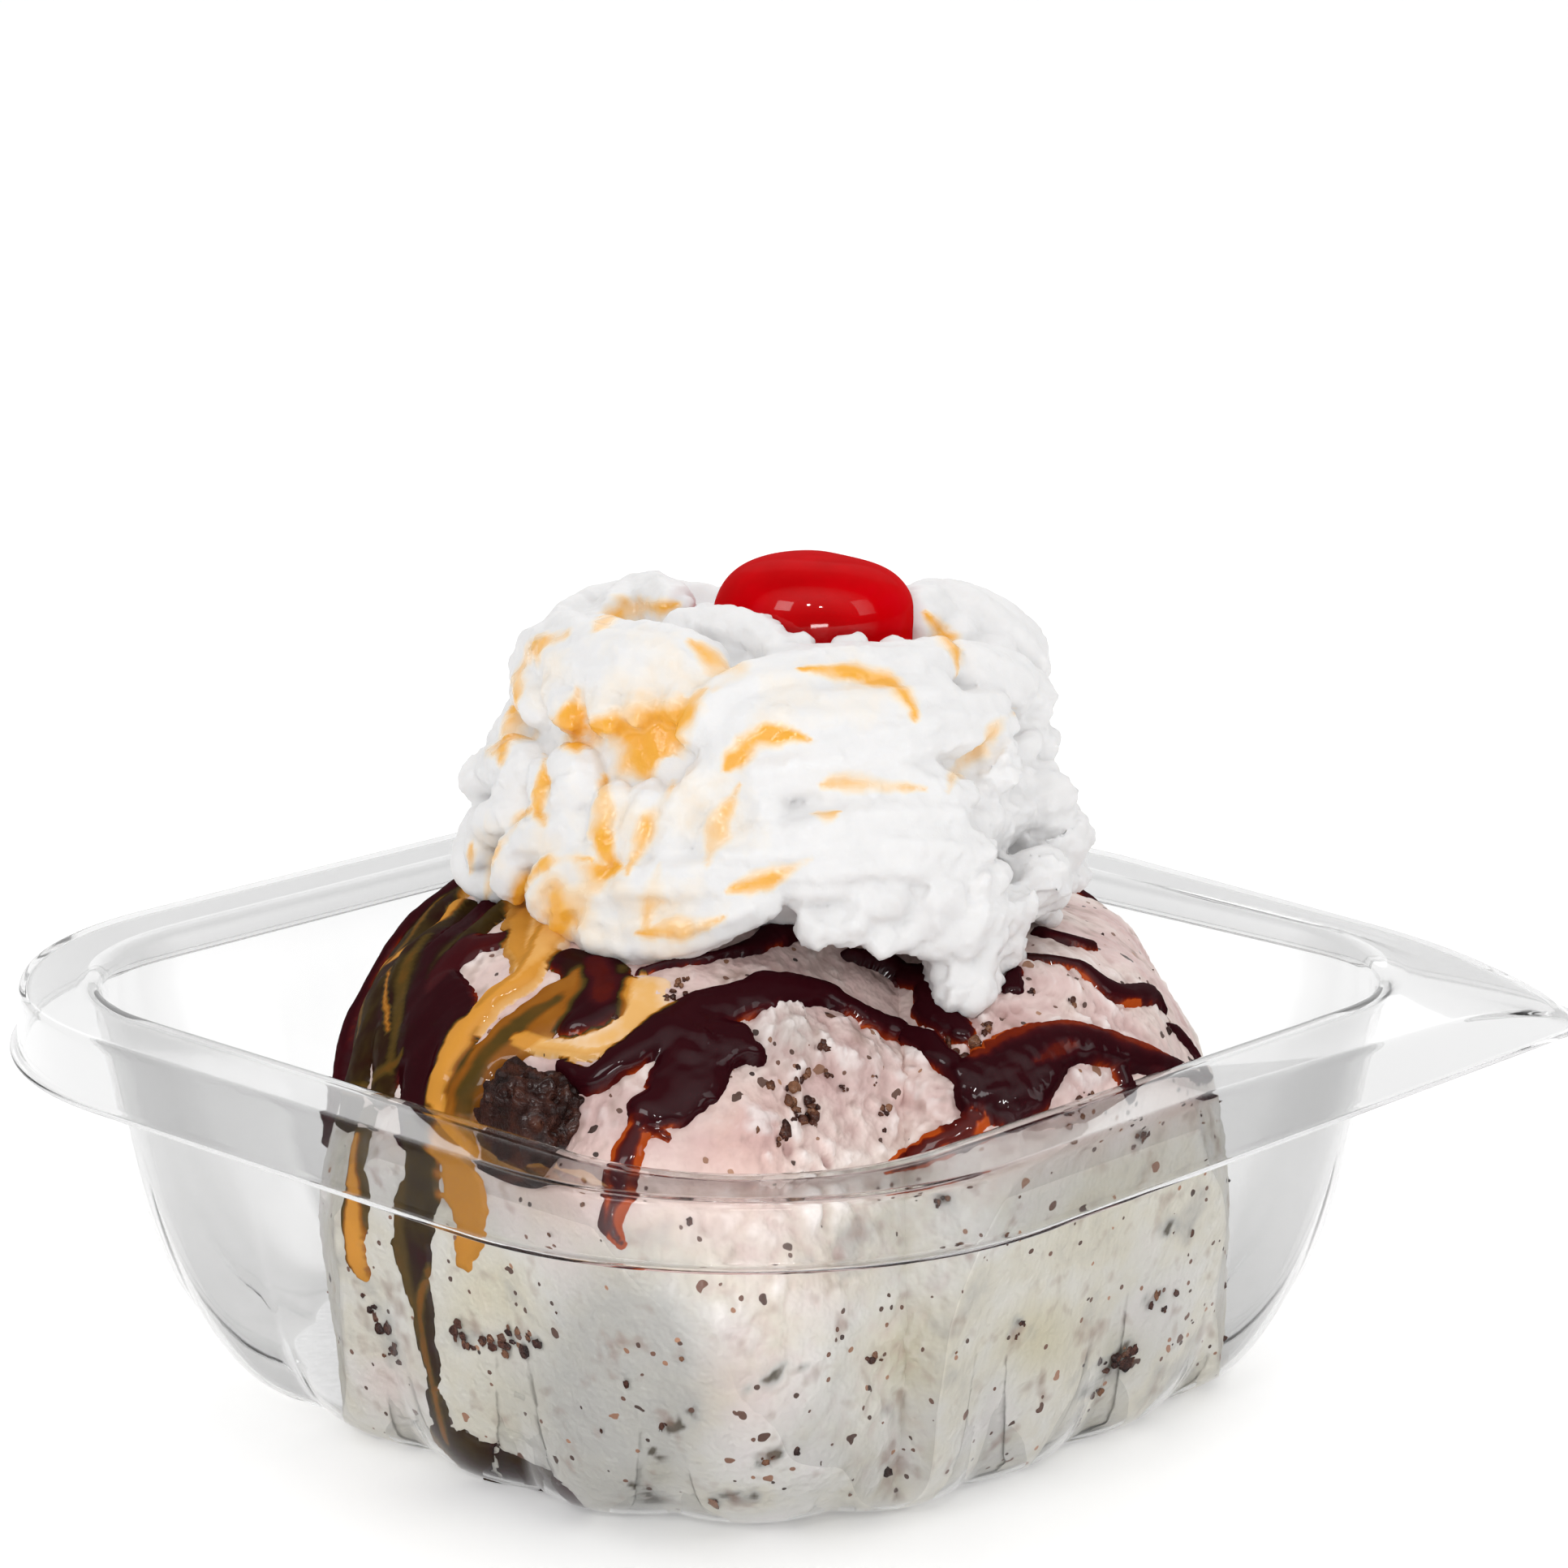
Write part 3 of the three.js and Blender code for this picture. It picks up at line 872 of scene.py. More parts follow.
# Sauces: beads along strokes over the heap. A stroke has its height in mm, its share of caramel (the rest is
# fudge), how much it glows, and picture points with half its width in mm. Without height it only colours.
sauceStrokes = [
    # dark sheet on the left, with olive and golden lines in it
    (1.3, 0.14, 0.0, [(588, 1090, 1.8), (545, 1128, 3.4), (500, 1180, 4.6), (470, 1240, 4.8),
                      (450, 1300, 4.4), (436, 1362, 3.0)]),
    (1.3, 0.04, 0.0, [(614, 1104, 1.4), (578, 1140, 2.0), (540, 1190, 3.0), (518, 1240, 4.4),
                      (520, 1290, 4.8), (514, 1340, 3.0), (512, 1400, 2.0)]),
    (1.3, 0.14, 0.0, [(566, 1122, 2.2), (522, 1182, 3.8), (494, 1240, 4.6), (484, 1296, 4.4),
                      (474, 1336, 2.8)]),
    (1.2, 0.05, 0.0, [(552, 1220, 2.2), (566, 1262, 3.2), (556, 1312, 3.4), (538, 1362, 2.6)]),
    (1.0, 0.16, 0.0, [(632, 1110, 2.0), (588, 1154, 2.2), (550, 1204, 2.0)]),
    (0.7, 0.66, 0.0, [(646, 1108, 2.2), (648, 1150, 2.4), (650, 1186, 1.8)]),
    (0.8, 0.0, 0.6, [(545, 1222, 1.5), (560, 1196, 2.3), (588, 1172, 2.3), (622, 1160, 1.6)]),
    (0.0, 0.8, 0.0, [(590, 1092, 0.7), (540, 1150, 1.3), (482, 1200, 0.9)]),
    (0.0, 0.34, 0.0, [(560, 1112, 0.4), (516, 1160, 0.7), (470, 1225, 0.7), (450, 1290, 0.5)]),
    (0.0, 0.3, 0.0, [(540, 1165, 0.4), (510, 1215, 0.9), (500, 1262, 0.8), (486, 1320, 0.5)]),
    (0.0, 0.66, 0.0, [(495, 1205, 0.2), (488, 1240, 0.5), (489, 1275, 0.3)]),
    (0.0, 0.32, 0.0, [(505, 1300, 0.3), (470, 1330, 0.7), (440, 1345, 0.5)]),
    # brown swirl and caramel running down from the cream
    (1.1, 0.07, 0.0, [(702, 1184, 2.2), (735, 1196, 3.0), (748, 1222, 3.2), (735, 1252, 2.6),
                      (706, 1266, 1.6)]),
    (1.2, 0.5, 0.0, [(752, 1196, 2.4), (690, 1236, 3.4), (630, 1280, 3.2), (592, 1320, 2.8),
                     (564, 1366, 2.5), (549, 1412, 2.2)]),
    (0.0, 0.06, 0.0, [(762, 1186, 0.9), (748, 1206, 1.6), (738, 1232, 1.6), (712, 1262, 1.2)]),
    (0.0, 0.28, 0.0, [(690, 1236, 0.6), (650, 1262, 1.0), (606, 1306, 1.1), (576, 1360, 1.0),
                      (560, 1412, 0.9)]),
    (1.5, 1.0, 0.0, [(692, 1108, 2.6), (682, 1152, 2.4), (655, 1204, 2.1), (606, 1244, 1.9),
                     (574, 1290, 1.9), (552, 1340, 1.7), (532, 1402, 1.5)]),
    (0.0, 1.0, 0.75, [(696, 1096, 3.2), (686, 1140, 2.6), (668, 1182, 1.8), (640, 1216, 1.0)]),
    (1.0, 0.8, 0.0, [(652, 1130, 1.2), (641, 1165, 1.0), (652, 1192, 0.8)]),
    (0.0, 0.7, 0.0, [(672, 1150, 0.4), (646, 1206, 0.5), (600, 1250, 0.4)]),
    # thin caramel lying on the ice cream, with its golden border
    (0.26, 0.95, 0.0, [(800, 1218, 2.4), (800, 1250, 2.6), (768, 1276, 2.2), (716, 1290, 1.5),
                       (650, 1284, 1.0)]),
    (0.5, 0.9, 0.0, [(768, 1292, 0.4), (730, 1302, 0.6), (690, 1294, 0.7), (640, 1284, 0.6)]),
    # fudge ribbon across the front, its blob and drip
    (1.5, 0.0, 0.0, [(692, 1314, 1.0), (733, 1332, 1.4), (770, 1312, 1.8), (812, 1278, 2.4),
                     (860, 1254, 3.0), (909, 1236, 2.6), (955, 1223, 2.4), (1001, 1219, 2.1),
                     (1039, 1232, 2.0), (1066, 1250, 1.8), (1112, 1276, 1.5), (1154, 1303, 1.3),
                     (1180, 1326, 1.2)]),
    (1.6, 0.0, 0.0, [(838, 1274, 3.2), (876, 1286, 3.9), (908, 1294, 3.2), (922, 1300, 1.6)]),
    (1.6, 0.0, 0.0, [(866, 1296, 3.6), (850, 1332, 3.7), (826, 1358, 3.2), (804, 1372, 2.2)]),
    (0.9, 0.0, 0.62, [(792, 1384, 0.9), (781, 1416, 1.3), (772, 1446, 1.9), (764, 1471, 1.5),
                      (756, 1505, 1.2), (770, 1530, 0.6)]),
    (0.5, 0.0, 0.0, [(798, 1392, 0.6), (825, 1406, 0.4)]),
    # under the edge of the cream
    (1.3, 0.0, 0.0, [(790, 1198, 0.5), (840, 1186, 0.6), (882, 1179, 0.7), (936, 1161, 1.1),
                     (966, 1138, 2.2), (1000, 1115, 1.8)]),
    (1.4, 0.0, 0.0, [(1043, 1175, 0.9), (1085, 1190, 1.6), (1116, 1213, 2.0), (1147, 1250, 1.8),
                     (1176, 1275, 1.3)]),
    (1.3, 0.0, 0.0, [(1120, 1165, 1.6), (1134, 1195, 1.8), (1142, 1235, 1.4)]),
    # right side
    (1.1, 0.05, 0.0, [(1277, 1142, 1.1), (1307, 1154, 1.3), (1342, 1163, 0.9)]),
    (1.2, 0.06, 0.0, [(1250, 1175, 0.6), (1292, 1190, 0.8), (1323, 1199, 1.1), (1353, 1219, 1.6),
                      (1380, 1228, 1.7), (1411, 1228, 1.5), (1430, 1246, 0.7)]),
    (1.0, 0.0, 0.0, [(1436, 1266, 0.5), (1450, 1274, 0.9), (1466, 1300, 0.8), (1478, 1332, 0.7)]),
    (1.0, 0.0, 0.0, [(1242, 1219, 0.9), (1246, 1195, 0.6)]),
    (1.6, 0.0, 0.0, [(1184, 1326, 1.6), (1215, 1320, 3.2), (1255, 1308, 4.2), (1300, 1288, 3.0),
                     (1345, 1290, 2.6), (1385, 1303, 2.3), (1430, 1318, 1.3), (1478, 1335, 0.5)]),
    (1.6, 0.0, 0.0, [(1198, 1342, 2.2), (1235, 1354, 2.8), (1262, 1346, 2.5), (1288, 1322, 1.8)]),
    (1.4, 0.0, 0.0, [(1238, 1366, 1.7), (1245, 1381, 0.9)]),
    (1.0, 0.0, 0.0, [(1374, 1322, 1.0), (1386, 1342, 0.9), (1390, 1358, 0.5)]),
    (1.0, 0.0, 0.8, [(1204, 1368, 0.6), (1188, 1386, 1.8), (1150, 1406, 1.4), (1116, 1423, 0.9),
                     (1093, 1439, 0.4)]),
    (0.0, 0.0, 1.0, [(1192, 1304, 0.8), (1236, 1276, 1.8), (1280, 1262, 2.0), (1330, 1270, 1.8),
                     (1380, 1290, 1.4), (1420, 1306, 0.8)]),
    (0.0, 0.0, 0.9, [(1270, 1318, 0.5), (1290, 1308, 0.8), (1310, 1300, 0.5)]),
    (0.0, 0.0, 0.9, [(960, 1208, 0.5), (1000, 1203, 0.9), (1045, 1218, 0.9), (1080, 1240, 0.5)]),
    (0.0, 0.0, 0.8, [(1330, 1226, 0.6), (1375, 1243, 0.8), (1410, 1245, 0.6)]),
    (0.0, 0.0, 0.8, [(735, 1190, 1.2), (752, 1215, 1.4), (748, 1240, 1.0)]),
]
# The same between the ice cream and the wall, where they are pressed flat, and the lines drawn in them.
wallStrokes = [
    (1.3, 0.15, 0.0, [(530, 1400, 2.6), (522, 1463, 2.8), (514, 1536, 2.8), (522, 1593, 2.0),
                      (532, 1654, 1.5), (538, 1708, 1.5), (549, 1758, 2.0), (572, 1796, 2.6)]),
    (1.2, 0.25, 0.0, [(452, 1385, 2.2), (446, 1440, 2.4), (442, 1500, 2.0), (450, 1560, 1.4)]),
    (1.6, 0.12, 0.0, [(546, 1774, 2.2), (580, 1796, 3.8), (620, 1812, 3.6), (668, 1828, 2.0)]),
    (1.1, 0.7, 0.0, [(560, 1405, 2.4), (578, 1463, 3.2), (586, 1512, 2.4), (575, 1545, 1.4)]),
]
wallPaint = [
    (0.0, 0.8, 0.0, [(452, 1400, 0.8), (446, 1463, 1.0), (448, 1530, 1.2), (455, 1575, 0.8)]),
    (0.0, 0.4, 0.0, [(536, 1560, 0.4), (526, 1620, 0.6), (538, 1700, 0.6), (554, 1770, 0.6)]),
    (0.0, 0.3, 0.0, [(508, 1430, 0.8), (500, 1500, 1.2), (508, 1570, 1.2), (522, 1640, 0.7)]),
    (0.0, 0.34, 0.0, [(536, 1768, 1.6), (552, 1790, 2.0), (576, 1812, 1.4)]),
]
# The far side: ribbons running down from under the cream, by their bearing around the heap in degrees.
farRibbons = {
    "bearings": (44, 60, 78, 98, 124, 148, 170),
    "top": 52,             # degrees of rise
    "foot": (6, 28),
    "sway": 7,             # degrees at each of the five points
    "half": (1.2, 3.0),    # mm, half width
    "ends": (0.8, 1, 1, 1, 0.6),
    "height": 1.9,
    "caramel": (0, 0, 0.9),
    "glow": 0.2,
    "seed": 17,
}
sauce = {
    "step": 0.36,          # mm between points
    "girth": 46,           # mm, radius for which that holds
    "rises": (-24, 66),    # degrees that the grid covers
    "edgeWander": 0.45,    # mm
    "wanderSize": 3.4,
    "wallWander": 2.2,     # times that at the wall
    "under": 0.7,          # mm that the border dips under the ice cream
    "thick": 1.1,          # mm under the skin to the closed back
    "borderReach": 0.2,    # mm into the wall at the border
    "reach": 0.6,          # and at most
    # bubbly places: picture points, and their radius in mm
    "bubbly": [(1215, 1340), (1250, 1355), (1280, 1325), (1340, 1300), (880, 1290)],
    "bubblyRadius": 4.0,
}
sauceLook = {
    "grain": 150.0,        # a metre
    # by depth, thin to thick
    "fudge": [(0.0, (0.40, 0.062, 0.008)), (0.12, (0.20, 0.020, 0.004)), (0.30, (0.085, 0.008, 0.005)),
              (0.5, (0.048, 0.005, 0.007)), (1.0, (0.026, 0.003, 0.005))],
    "gold": [(0.0, (0.85, 0.62, 0.42)), (0.12, (0.80, 0.46, 0.16)), (0.7, (0.66, 0.29, 0.045))],
    # fudge and caramel run into each other, by the share of caramel
    "olive": [(0.10, (0.020, 0.012, 0.004)), (0.28, (0.085, 0.050, 0.011)), (0.48, (0.27, 0.090, 0.010)),
              (0.7, (0.46, 0.20, 0.028))],
}


def strokePaths():
    # every stroke as samples on the heap's skin: place, half width, height, caramel, glow, if at the wall
    paths = []
    for strokes, atWall in ((sauceStrokes, False), (wallStrokes, True), (wallPaint, False)):
        for height, caramel, glow, way in strokes:
            row = curveThrough(way, 14 * len(way))
            half = np.maximum(row[:, 2], 0.2)
            paths.append((pictureToHeap(row[:, :2]), half, height, caramel, glow, atWall))
    f = farRibbons
    rng = np.random.default_rng(f["seed"])
    for bearing in f["bearings"]:
        rise = np.linspace(f["top"], rng.uniform(*f["foot"]), 5)
        turn = bearing + np.cumsum(rng.uniform(-f["sway"], f["sway"], 5))
        half = rng.uniform(*f["half"], 5) * np.array(f["ends"])
        turn, rise, half = curveThrough(np.column_stack([np.radians(turn), np.radians(rise), half]), 60).T
        skin, _ = heapSkin(wayAt(rise, turn))
        paths.append((skin, half, f["height"], float(rng.choice(f["caramel"])), f["glow"], False))
    return paths


def nearestOn(p, path):
    # distance from each point to the path's segments, and where along the path it is, in samples
    a, b = path[:-1], path[1:]
    ab = b - a
    t = np.einsum("nmk,mk->nm", p[:, None] - a[None], ab) / np.maximum((ab ** 2).sum(1), 1e-9)
    t = np.clip(t, 0, 1)
    apart = np.linalg.norm(p[:, None] - (a[None] + t[..., None] * ab[None]), axis=2)
    k = apart.argmin(1)
    rows = np.arange(len(p))
    return apart[rows, k], k + t[rows, k]


def around(p, path, margin):
    # numbers of the points in the box about a path
    return np.flatnonzero(((p > path.min(0) - margin) & (p < path.max(0) + margin)).all(1))


def sauceLayer(p, paths):
    # height over the skin: a rounded bead on each stroke, joined softly; later strokes paint over earlier
    height = np.full(len(p), -sauce["under"])
    depth, caramel, glow = np.zeros((3, len(p)))
    wander = sauce["edgeWander"] * layered(p, sauce["wanderSize"], 2, 41)
    for path, half, top, share, warm, atWall in paths:
        todo = around(p, path, half.max() + 2.0)
        if len(todo) == 0:
            continue
        apart, k = nearestOn(p[todo], path)
        width = np.interp(k, np.arange(len(half)), half)
        loose = wander[todo] * np.minimum(width, 1.5) / 1.5
        x = (apart + loose * (sauce["wallWander"] if atWall else 1.0)) / width   # 1 at the stroke's edge
        soft = (0.9, 1.4) if atWall else (0.5, 1.1) if top else (0.5, 1.5)
        mix = 1 - smoothStep(*soft, x)
        old = height[todo]
        if top:
            mix = np.where(old > -0.5 * sauce["under"], mix, x < 1.6)   # no soft edge on bare ice cream
        caramel[todo] = caramel[todo] * (1 - mix) + share * mix
        glow[todo] = glow[todo] * (1 - mix) + warm * mix
        if top == 0:
            continue
        tall = top * np.minimum(1, 0.45 + width / 3.2)
        bead = np.where(x < 1, tall * np.clip(1 - x ** 2, 0, 1) ** 0.6, (1 - x) * width * 1.3)
        bead = np.maximum(bead, -sauce["under"])
        blend = np.clip(0.5 - np.abs(bead - old) / 1.2, 0, 0.5)
        height[todo] = np.maximum(old, bead) + np.where(np.minimum(bead, old) > 0, 0.6 * blend ** 2, 0)
        deep = np.clip((1 - x) * np.maximum(width / 1.6, 1), 0, 1) * (min(top, 1.2) / 1.2) ** 2
        depth[todo] = np.maximum(depth[todo], np.where(x < 1.3, 0.8, 0) if atWall else deep)
    # thick borders in some places, thin and glowing in others
    thick = 0.55 * smoothStep(-0.2, 0.3, layered(p, 9.0, 2, 59)) * (caramel < 0.3)
    return height, np.maximum(depth, thick), caramel, glow


def sauceMesh():
    # grid of bearing and rise over the heap, kept where a stroke covers it, closed by a back under the skin
    s = sauce
    turn = turns(int(2 * np.pi * s["girth"] / s["step"]))
    rise = np.radians(np.arange(*s["rises"], math.degrees(s["step"] / s["girth"])))
    skin, out = heapSkin(wayAt(*np.meshgrid(rise, turn, indexing="ij")).reshape(-1, 3))
    height, depth, caramel, glow = sauceLayer(skin, strokePaths())
    quads = gridQuads(len(rise), len(turn))
    quads = quads[(height[quads] > -0.5 * s["under"]).any(1)]
    used, flat = np.unique(quads, return_inverse=True)
    quads = flat.reshape(-1, 4)
    skin, out, height, depth, caramel, glow = (a[used] for a in (skin, out, height, depth, caramel, glow))
    slow = slowRelief(skin)
    bubbly = spread(skin, pictureToHeap(s["bubbly"]), s["bubblyRadius"]).max(1)
    uneven = 0.22 * layered(skin, 5.0, 2, 51) + (0.06 + 0.5 * bubbly) * crumbs(skin, 2.0, 2, 53)
    top = height + np.where(height > 0, uneven * np.minimum(height, 1), 0)
    reach = s["borderReach"] + np.clip(top, -s["under"], s["reach"] - s["borderReach"])
    upper = keepInBowl(skin + out * (slow + top)[:, None], reach)
    lower = keepInBowl(skin + out * (slow - s["thick"])[:, None], s["borderReach"] - s["thick"])
    # edges that only one quad has are joined to the back
    n = len(skin)
    edges = np.stack([quads, np.roll(quads, -1, 1)], -1).reshape(-1, 2)
    border = edges[~np.isin(edges[:, 0] * n + edges[:, 1], edges[:, 1] * n + edges[:, 0])]
    faces = np.vstack([quads, quads[:, ::-1] + n, np.column_stack([border[:, ::-1], border + n])])
    mesh = meshFrom("fudge_and_caramel", toFrame(np.vstack([upper, lower])), faces, noTriangles)
    for name, values in {"depth": depth, "caramel": caramel, "glow": glow}.items():
        addShare(mesh, name, np.tile(values, 2))
    return mesh


def makeSauce():
    # fudge and caramel each by its depth, with olive between them by the share of caramel; wet on top
    look = sauceLook
    material, tree, shader = newMaterial("fudgeAndCaramel")
    shade, relief = grain(tree, look["grain"])
    depth = addWaver(tree, maths(tree, "MULTIPLY", shareOf(tree, "depth"), 2.2, True), shade, 0.5)
    depth = maths(tree, "SUBTRACT", depth, maths(tree, "MULTIPLY", shareOf(tree, "glow"), 0.8))
    swirl = addWaver(tree, shareOf(tree, "caramel"), shade, 0.25)
    early = fade(tree, swirl, [(0.06, 0), (0.16, 1)])
    late = fade(tree, swirl, [(0.6, 0), (0.92, 1)])
    color = blendColor(tree, early, ramp(tree, depth, look["fudge"]), ramp(tree, swirl, look["olive"]))
    color = blendColor(tree, late, color, ramp(tree, depth, look["gold"]))
    setShader(tree, shader, Base_Color=color, Roughness=fade(tree, shade, [(0.3, 0.08), (0.7, 0.16)]),
              Specular_IOR_Level=0.0, Coat_Weight=byFacing(tree, wetSheen), Coat_Roughness=0.07,
              Normal=bump(tree, relief, 0.08, 0.0004))
    return material


addPiece("fudge_and_caramel", sauceMesh(), makeSauce())


# Whipped cream: ropes piped over a full middle, each given by picture points with its radius in mm.
creamBody = {
    "center": (3.5, -12.0),
    # height and radius of the skin that the ropes lie in, and of the full core behind them
    "skin": [(48, 27), (58, 33), (66, 33), (76, 30), (84, 27), (90, 20), (92.5, 12), (93.5, 3)],
    "core": [(52, 6), (56.5, 12), (62, 24), (70, 30.5), (76, 28), (84, 24.5), (88, 18.5), (90.4, 10),
             (91, 2)],
    # hollow for the cherry: middle, radius and height of its floor
    "hollow": ((10.0, -16.0), 12.0, 88.2),
    "sink": 0.25,          # share of a rope's radius under the mound's skin
    "lobes": 7,            # ridges that the nozzle leaves along a rope
    "lobeDepth": 0.13,
    "twist": 1.5,          # radians from end to end
    "sides": 42,
    "pleat": (28.0, 2.7),  # mm, length and width of the fine ridges
    "pleatHeight": 0.45,
    "voxel": 0.49,
    # torn places: how much, from and to which bearing in degrees, and the heights where it ends
    "torn": [(1.0, (290, 318), (80, 87)), (0.5, (30, 0), (80, 87)), (1.0, (272, 284), (60, 66))],
    "tear": (1.0, 0.2, 0.55),
    "drip": 0.35,          # share of its radius that the drip stands out
    "drizzleHeight": 0.12,
}
creamLook = {
    "grain": 220.0,        # a metre
    "white": [(0.3, (0.78, 0.772, 0.770)), (0.7, (0.83, 0.822, 0.820))],
    "gold": [(0.1, (0.95, 0.76, 0.45)), (0.5, (0.94, 0.58, 0.18)), (1.0, (0.86, 0.42, 0.05))],
    "glow": 0.3,           # light going into the cream
    "glowWay": (1.0, 0.9, 0.8),
    "glowDepth": 0.0012,
}
creamRopes = [
    # bottom rope in two lobes, with its knob
    [(728, 1150, 4.0), (790, 1155, 3.9), (855, 1141, 3.5), (920, 1117, 2.6), (958, 1101, 1.5)],
    [(763, 1101, 3.4), (823, 1090, 3.4), (888, 1082, 3.2), (953, 1074, 2.8), (1007, 1068, 2.2)],
    [(776, 1170, 2.8), (785, 1186, 2.4)],
    # pleats at lower left
    [(633, 998, 2.7), (600, 1019, 2.9), (590, 1063, 2.4)],
    [(709, 1019, 2.6), (644, 1041, 3.0), (622, 1095, 2.5)],
    [(747, 1063, 2.4), (687, 1074, 3.0), (665, 1122, 2.6)],
    [(757, 1106, 2.2), (709, 1106, 2.6), (690, 1150, 2.2)],
    # left rosette
    [(579, 960, 2.8), (617, 944, 3.4), (655, 944, 2.6)],
    [(627, 922, 2.2), (638, 954, 3.0), (622, 987, 2.4)],
    [(693, 933, 2.4), (714, 960, 3.1), (693, 992, 2.4)],
    [(665, 944, 2.0), (671, 987, 2.4), (660, 1019, 1.8)],
    # big pleated rope at upper left
    [(647, 819, 4.5), (693, 803, 5.6), (757, 819, 6.0), (812, 819, 5.6), (866, 824, 4.4)],
    [(665, 792, 2.2), (650, 835, 2.8), (662, 878, 2.2)],
    [(709, 797, 2.2), (693, 835, 2.8), (700, 884, 2.3)],
    [(757, 797, 2.2), (747, 841, 2.8), (747, 889, 2.3)],
    [(801, 797, 2.2), (796, 835, 2.8), (785, 878, 2.2)],
    [(844, 803, 2.0), (844, 841, 2.6), (834, 873, 2.2)],
    # ridges around the cherry
    [(828, 772, 2.4), (880, 764, 2.6), (932, 774, 2.4), (964, 800, 2.0)],
    [(974, 808, 1.8), (1018, 808, 2.0), (1072, 813, 2.0), (1110, 804, 1.9)],
    [(752, 752, 2.8), (796, 730, 3.4), (834, 742, 2.8)],
    # top right rope and the one under it
    [(1121, 757, 3.6), (1170, 748, 4.6), (1229, 779, 4.8), (1278, 815, 3.8)],
    [(1180, 815, 3.4), (1245, 840, 4.0), (1286, 868, 3.2)],
    # broad folds sweeping up to the right
    [(855, 900, 3.4), (899, 868, 4.0), (964, 841, 4.2), (1045, 830, 4.2), (1115, 824, 3.8), (1170, 808, 3.0)],
    [(877, 944, 3.2), (942, 895, 4.0), (1018, 884, 4.0), (1105, 873, 3.8), (1170, 857, 3.0)],
    [(909, 960, 3.0), (991, 944, 3.7), (1072, 922, 3.8), (1153, 895, 3.6), (1235, 878, 3.0)],
    [(1007, 976, 2.4), (1083, 965, 2.9), (1153, 971, 2.8), (1197, 981, 2.2)],
    [(882, 1063, 3.2), (991, 1041, 4.0), (1072, 1014, 4.0), (1180, 998, 3.4)],
    [(974, 1084, 3.4), (1045, 1063, 4.0), (1126, 1052, 4.2), (1208, 1047, 3.6)],
    # small upright pleats in the middle
    [(758, 976, 2.2), (747, 1019, 2.5), (747, 1057, 2.0)],
    [(801, 976, 2.2), (790, 1019, 2.5), (779, 1057, 2.0)],
    [(844, 976, 2.2), (834, 1014, 2.5), (817, 1052, 2.0)],
    [(899, 987, 2.2), (888, 1019, 2.5), (877, 1047, 2.0)],
    [(942, 976, 2.2), (947, 1014, 2.6), (942, 1047, 2.2)],
    # torn lumps on the right
    [(1225, 935, 3.6), (1240, 950, 3.6)], [(1285, 965, 4.0), (1295, 985, 4.2)],
    [(1302, 1018, 4.4), (1310, 1040, 4.6)], [(1290, 1075, 4.4), (1285, 1100, 4.4)],
    [(1245, 1120, 4.2), (1250, 1130, 4.0)], [(1205, 1080, 4.0), (1210, 1095, 4.0)],
    [(1280, 915, 3.6), (1284, 925, 3.6)], [(1150, 1100, 3.6), (1160, 1110, 3.4)],
    # low lumps and the top of the drip
    [(1000, 1142, 2.2), (1010, 1150, 2.4)], [(1045, 1138, 2.8), (1055, 1146, 2.8)],
    [(1085, 1155, 2.3), (1093, 1163, 2.0)], [(1115, 1152, 2.2), (1122, 1168, 1.6)],
    [(1200, 1110, 5.4), (1197, 1160, 4.9), (1192, 1195, 4.2)],
    [(1236, 1115, 4.0), (1238, 1160, 3.2), (1230, 1196, 2.0)], [(1150, 1128, 3.4), (1162, 1172, 2.6)],
    [(1245, 1150, 2.6), (1250, 1178, 1.8)], [(1055, 1108, 2.6), (1080, 1112, 2.8), (1110, 1110, 2.6)],
    [(858, 962, 2.6), (876, 986, 2.6)],
    # small lumps against the cherry
    [(976, 790, 1.3), (996, 788, 1.4)], [(1034, 796, 1.5), (1062, 790, 1.4)],
    [(1092, 798, 1.3), (1106, 790, 1.2)],
]
# A lump hanging down over the heap.
creamDrip = [(1199, 1140, 4.6), (1193, 1180, 4.6), (1188, 1216, 4.4), (1184, 1248, 3.6), (1182, 1264, 2.4)]
# The far side, by bearing: ropes wound in layers as the nozzle left them.
farRopes = {
    "from": -20,
    "to": 200,
    "layers": [(63, 28, 8.2), (74, 24.5, 8.0), (83.5, 21, 7.4)],   # height, coil and rope radius in mm
    "wave": 1.2,           # mm up and down, three times a turn
    "lobes": 7,
    "lobeDepth": 0.28,
    "twist": 3.0,
    "sides": 56,
}
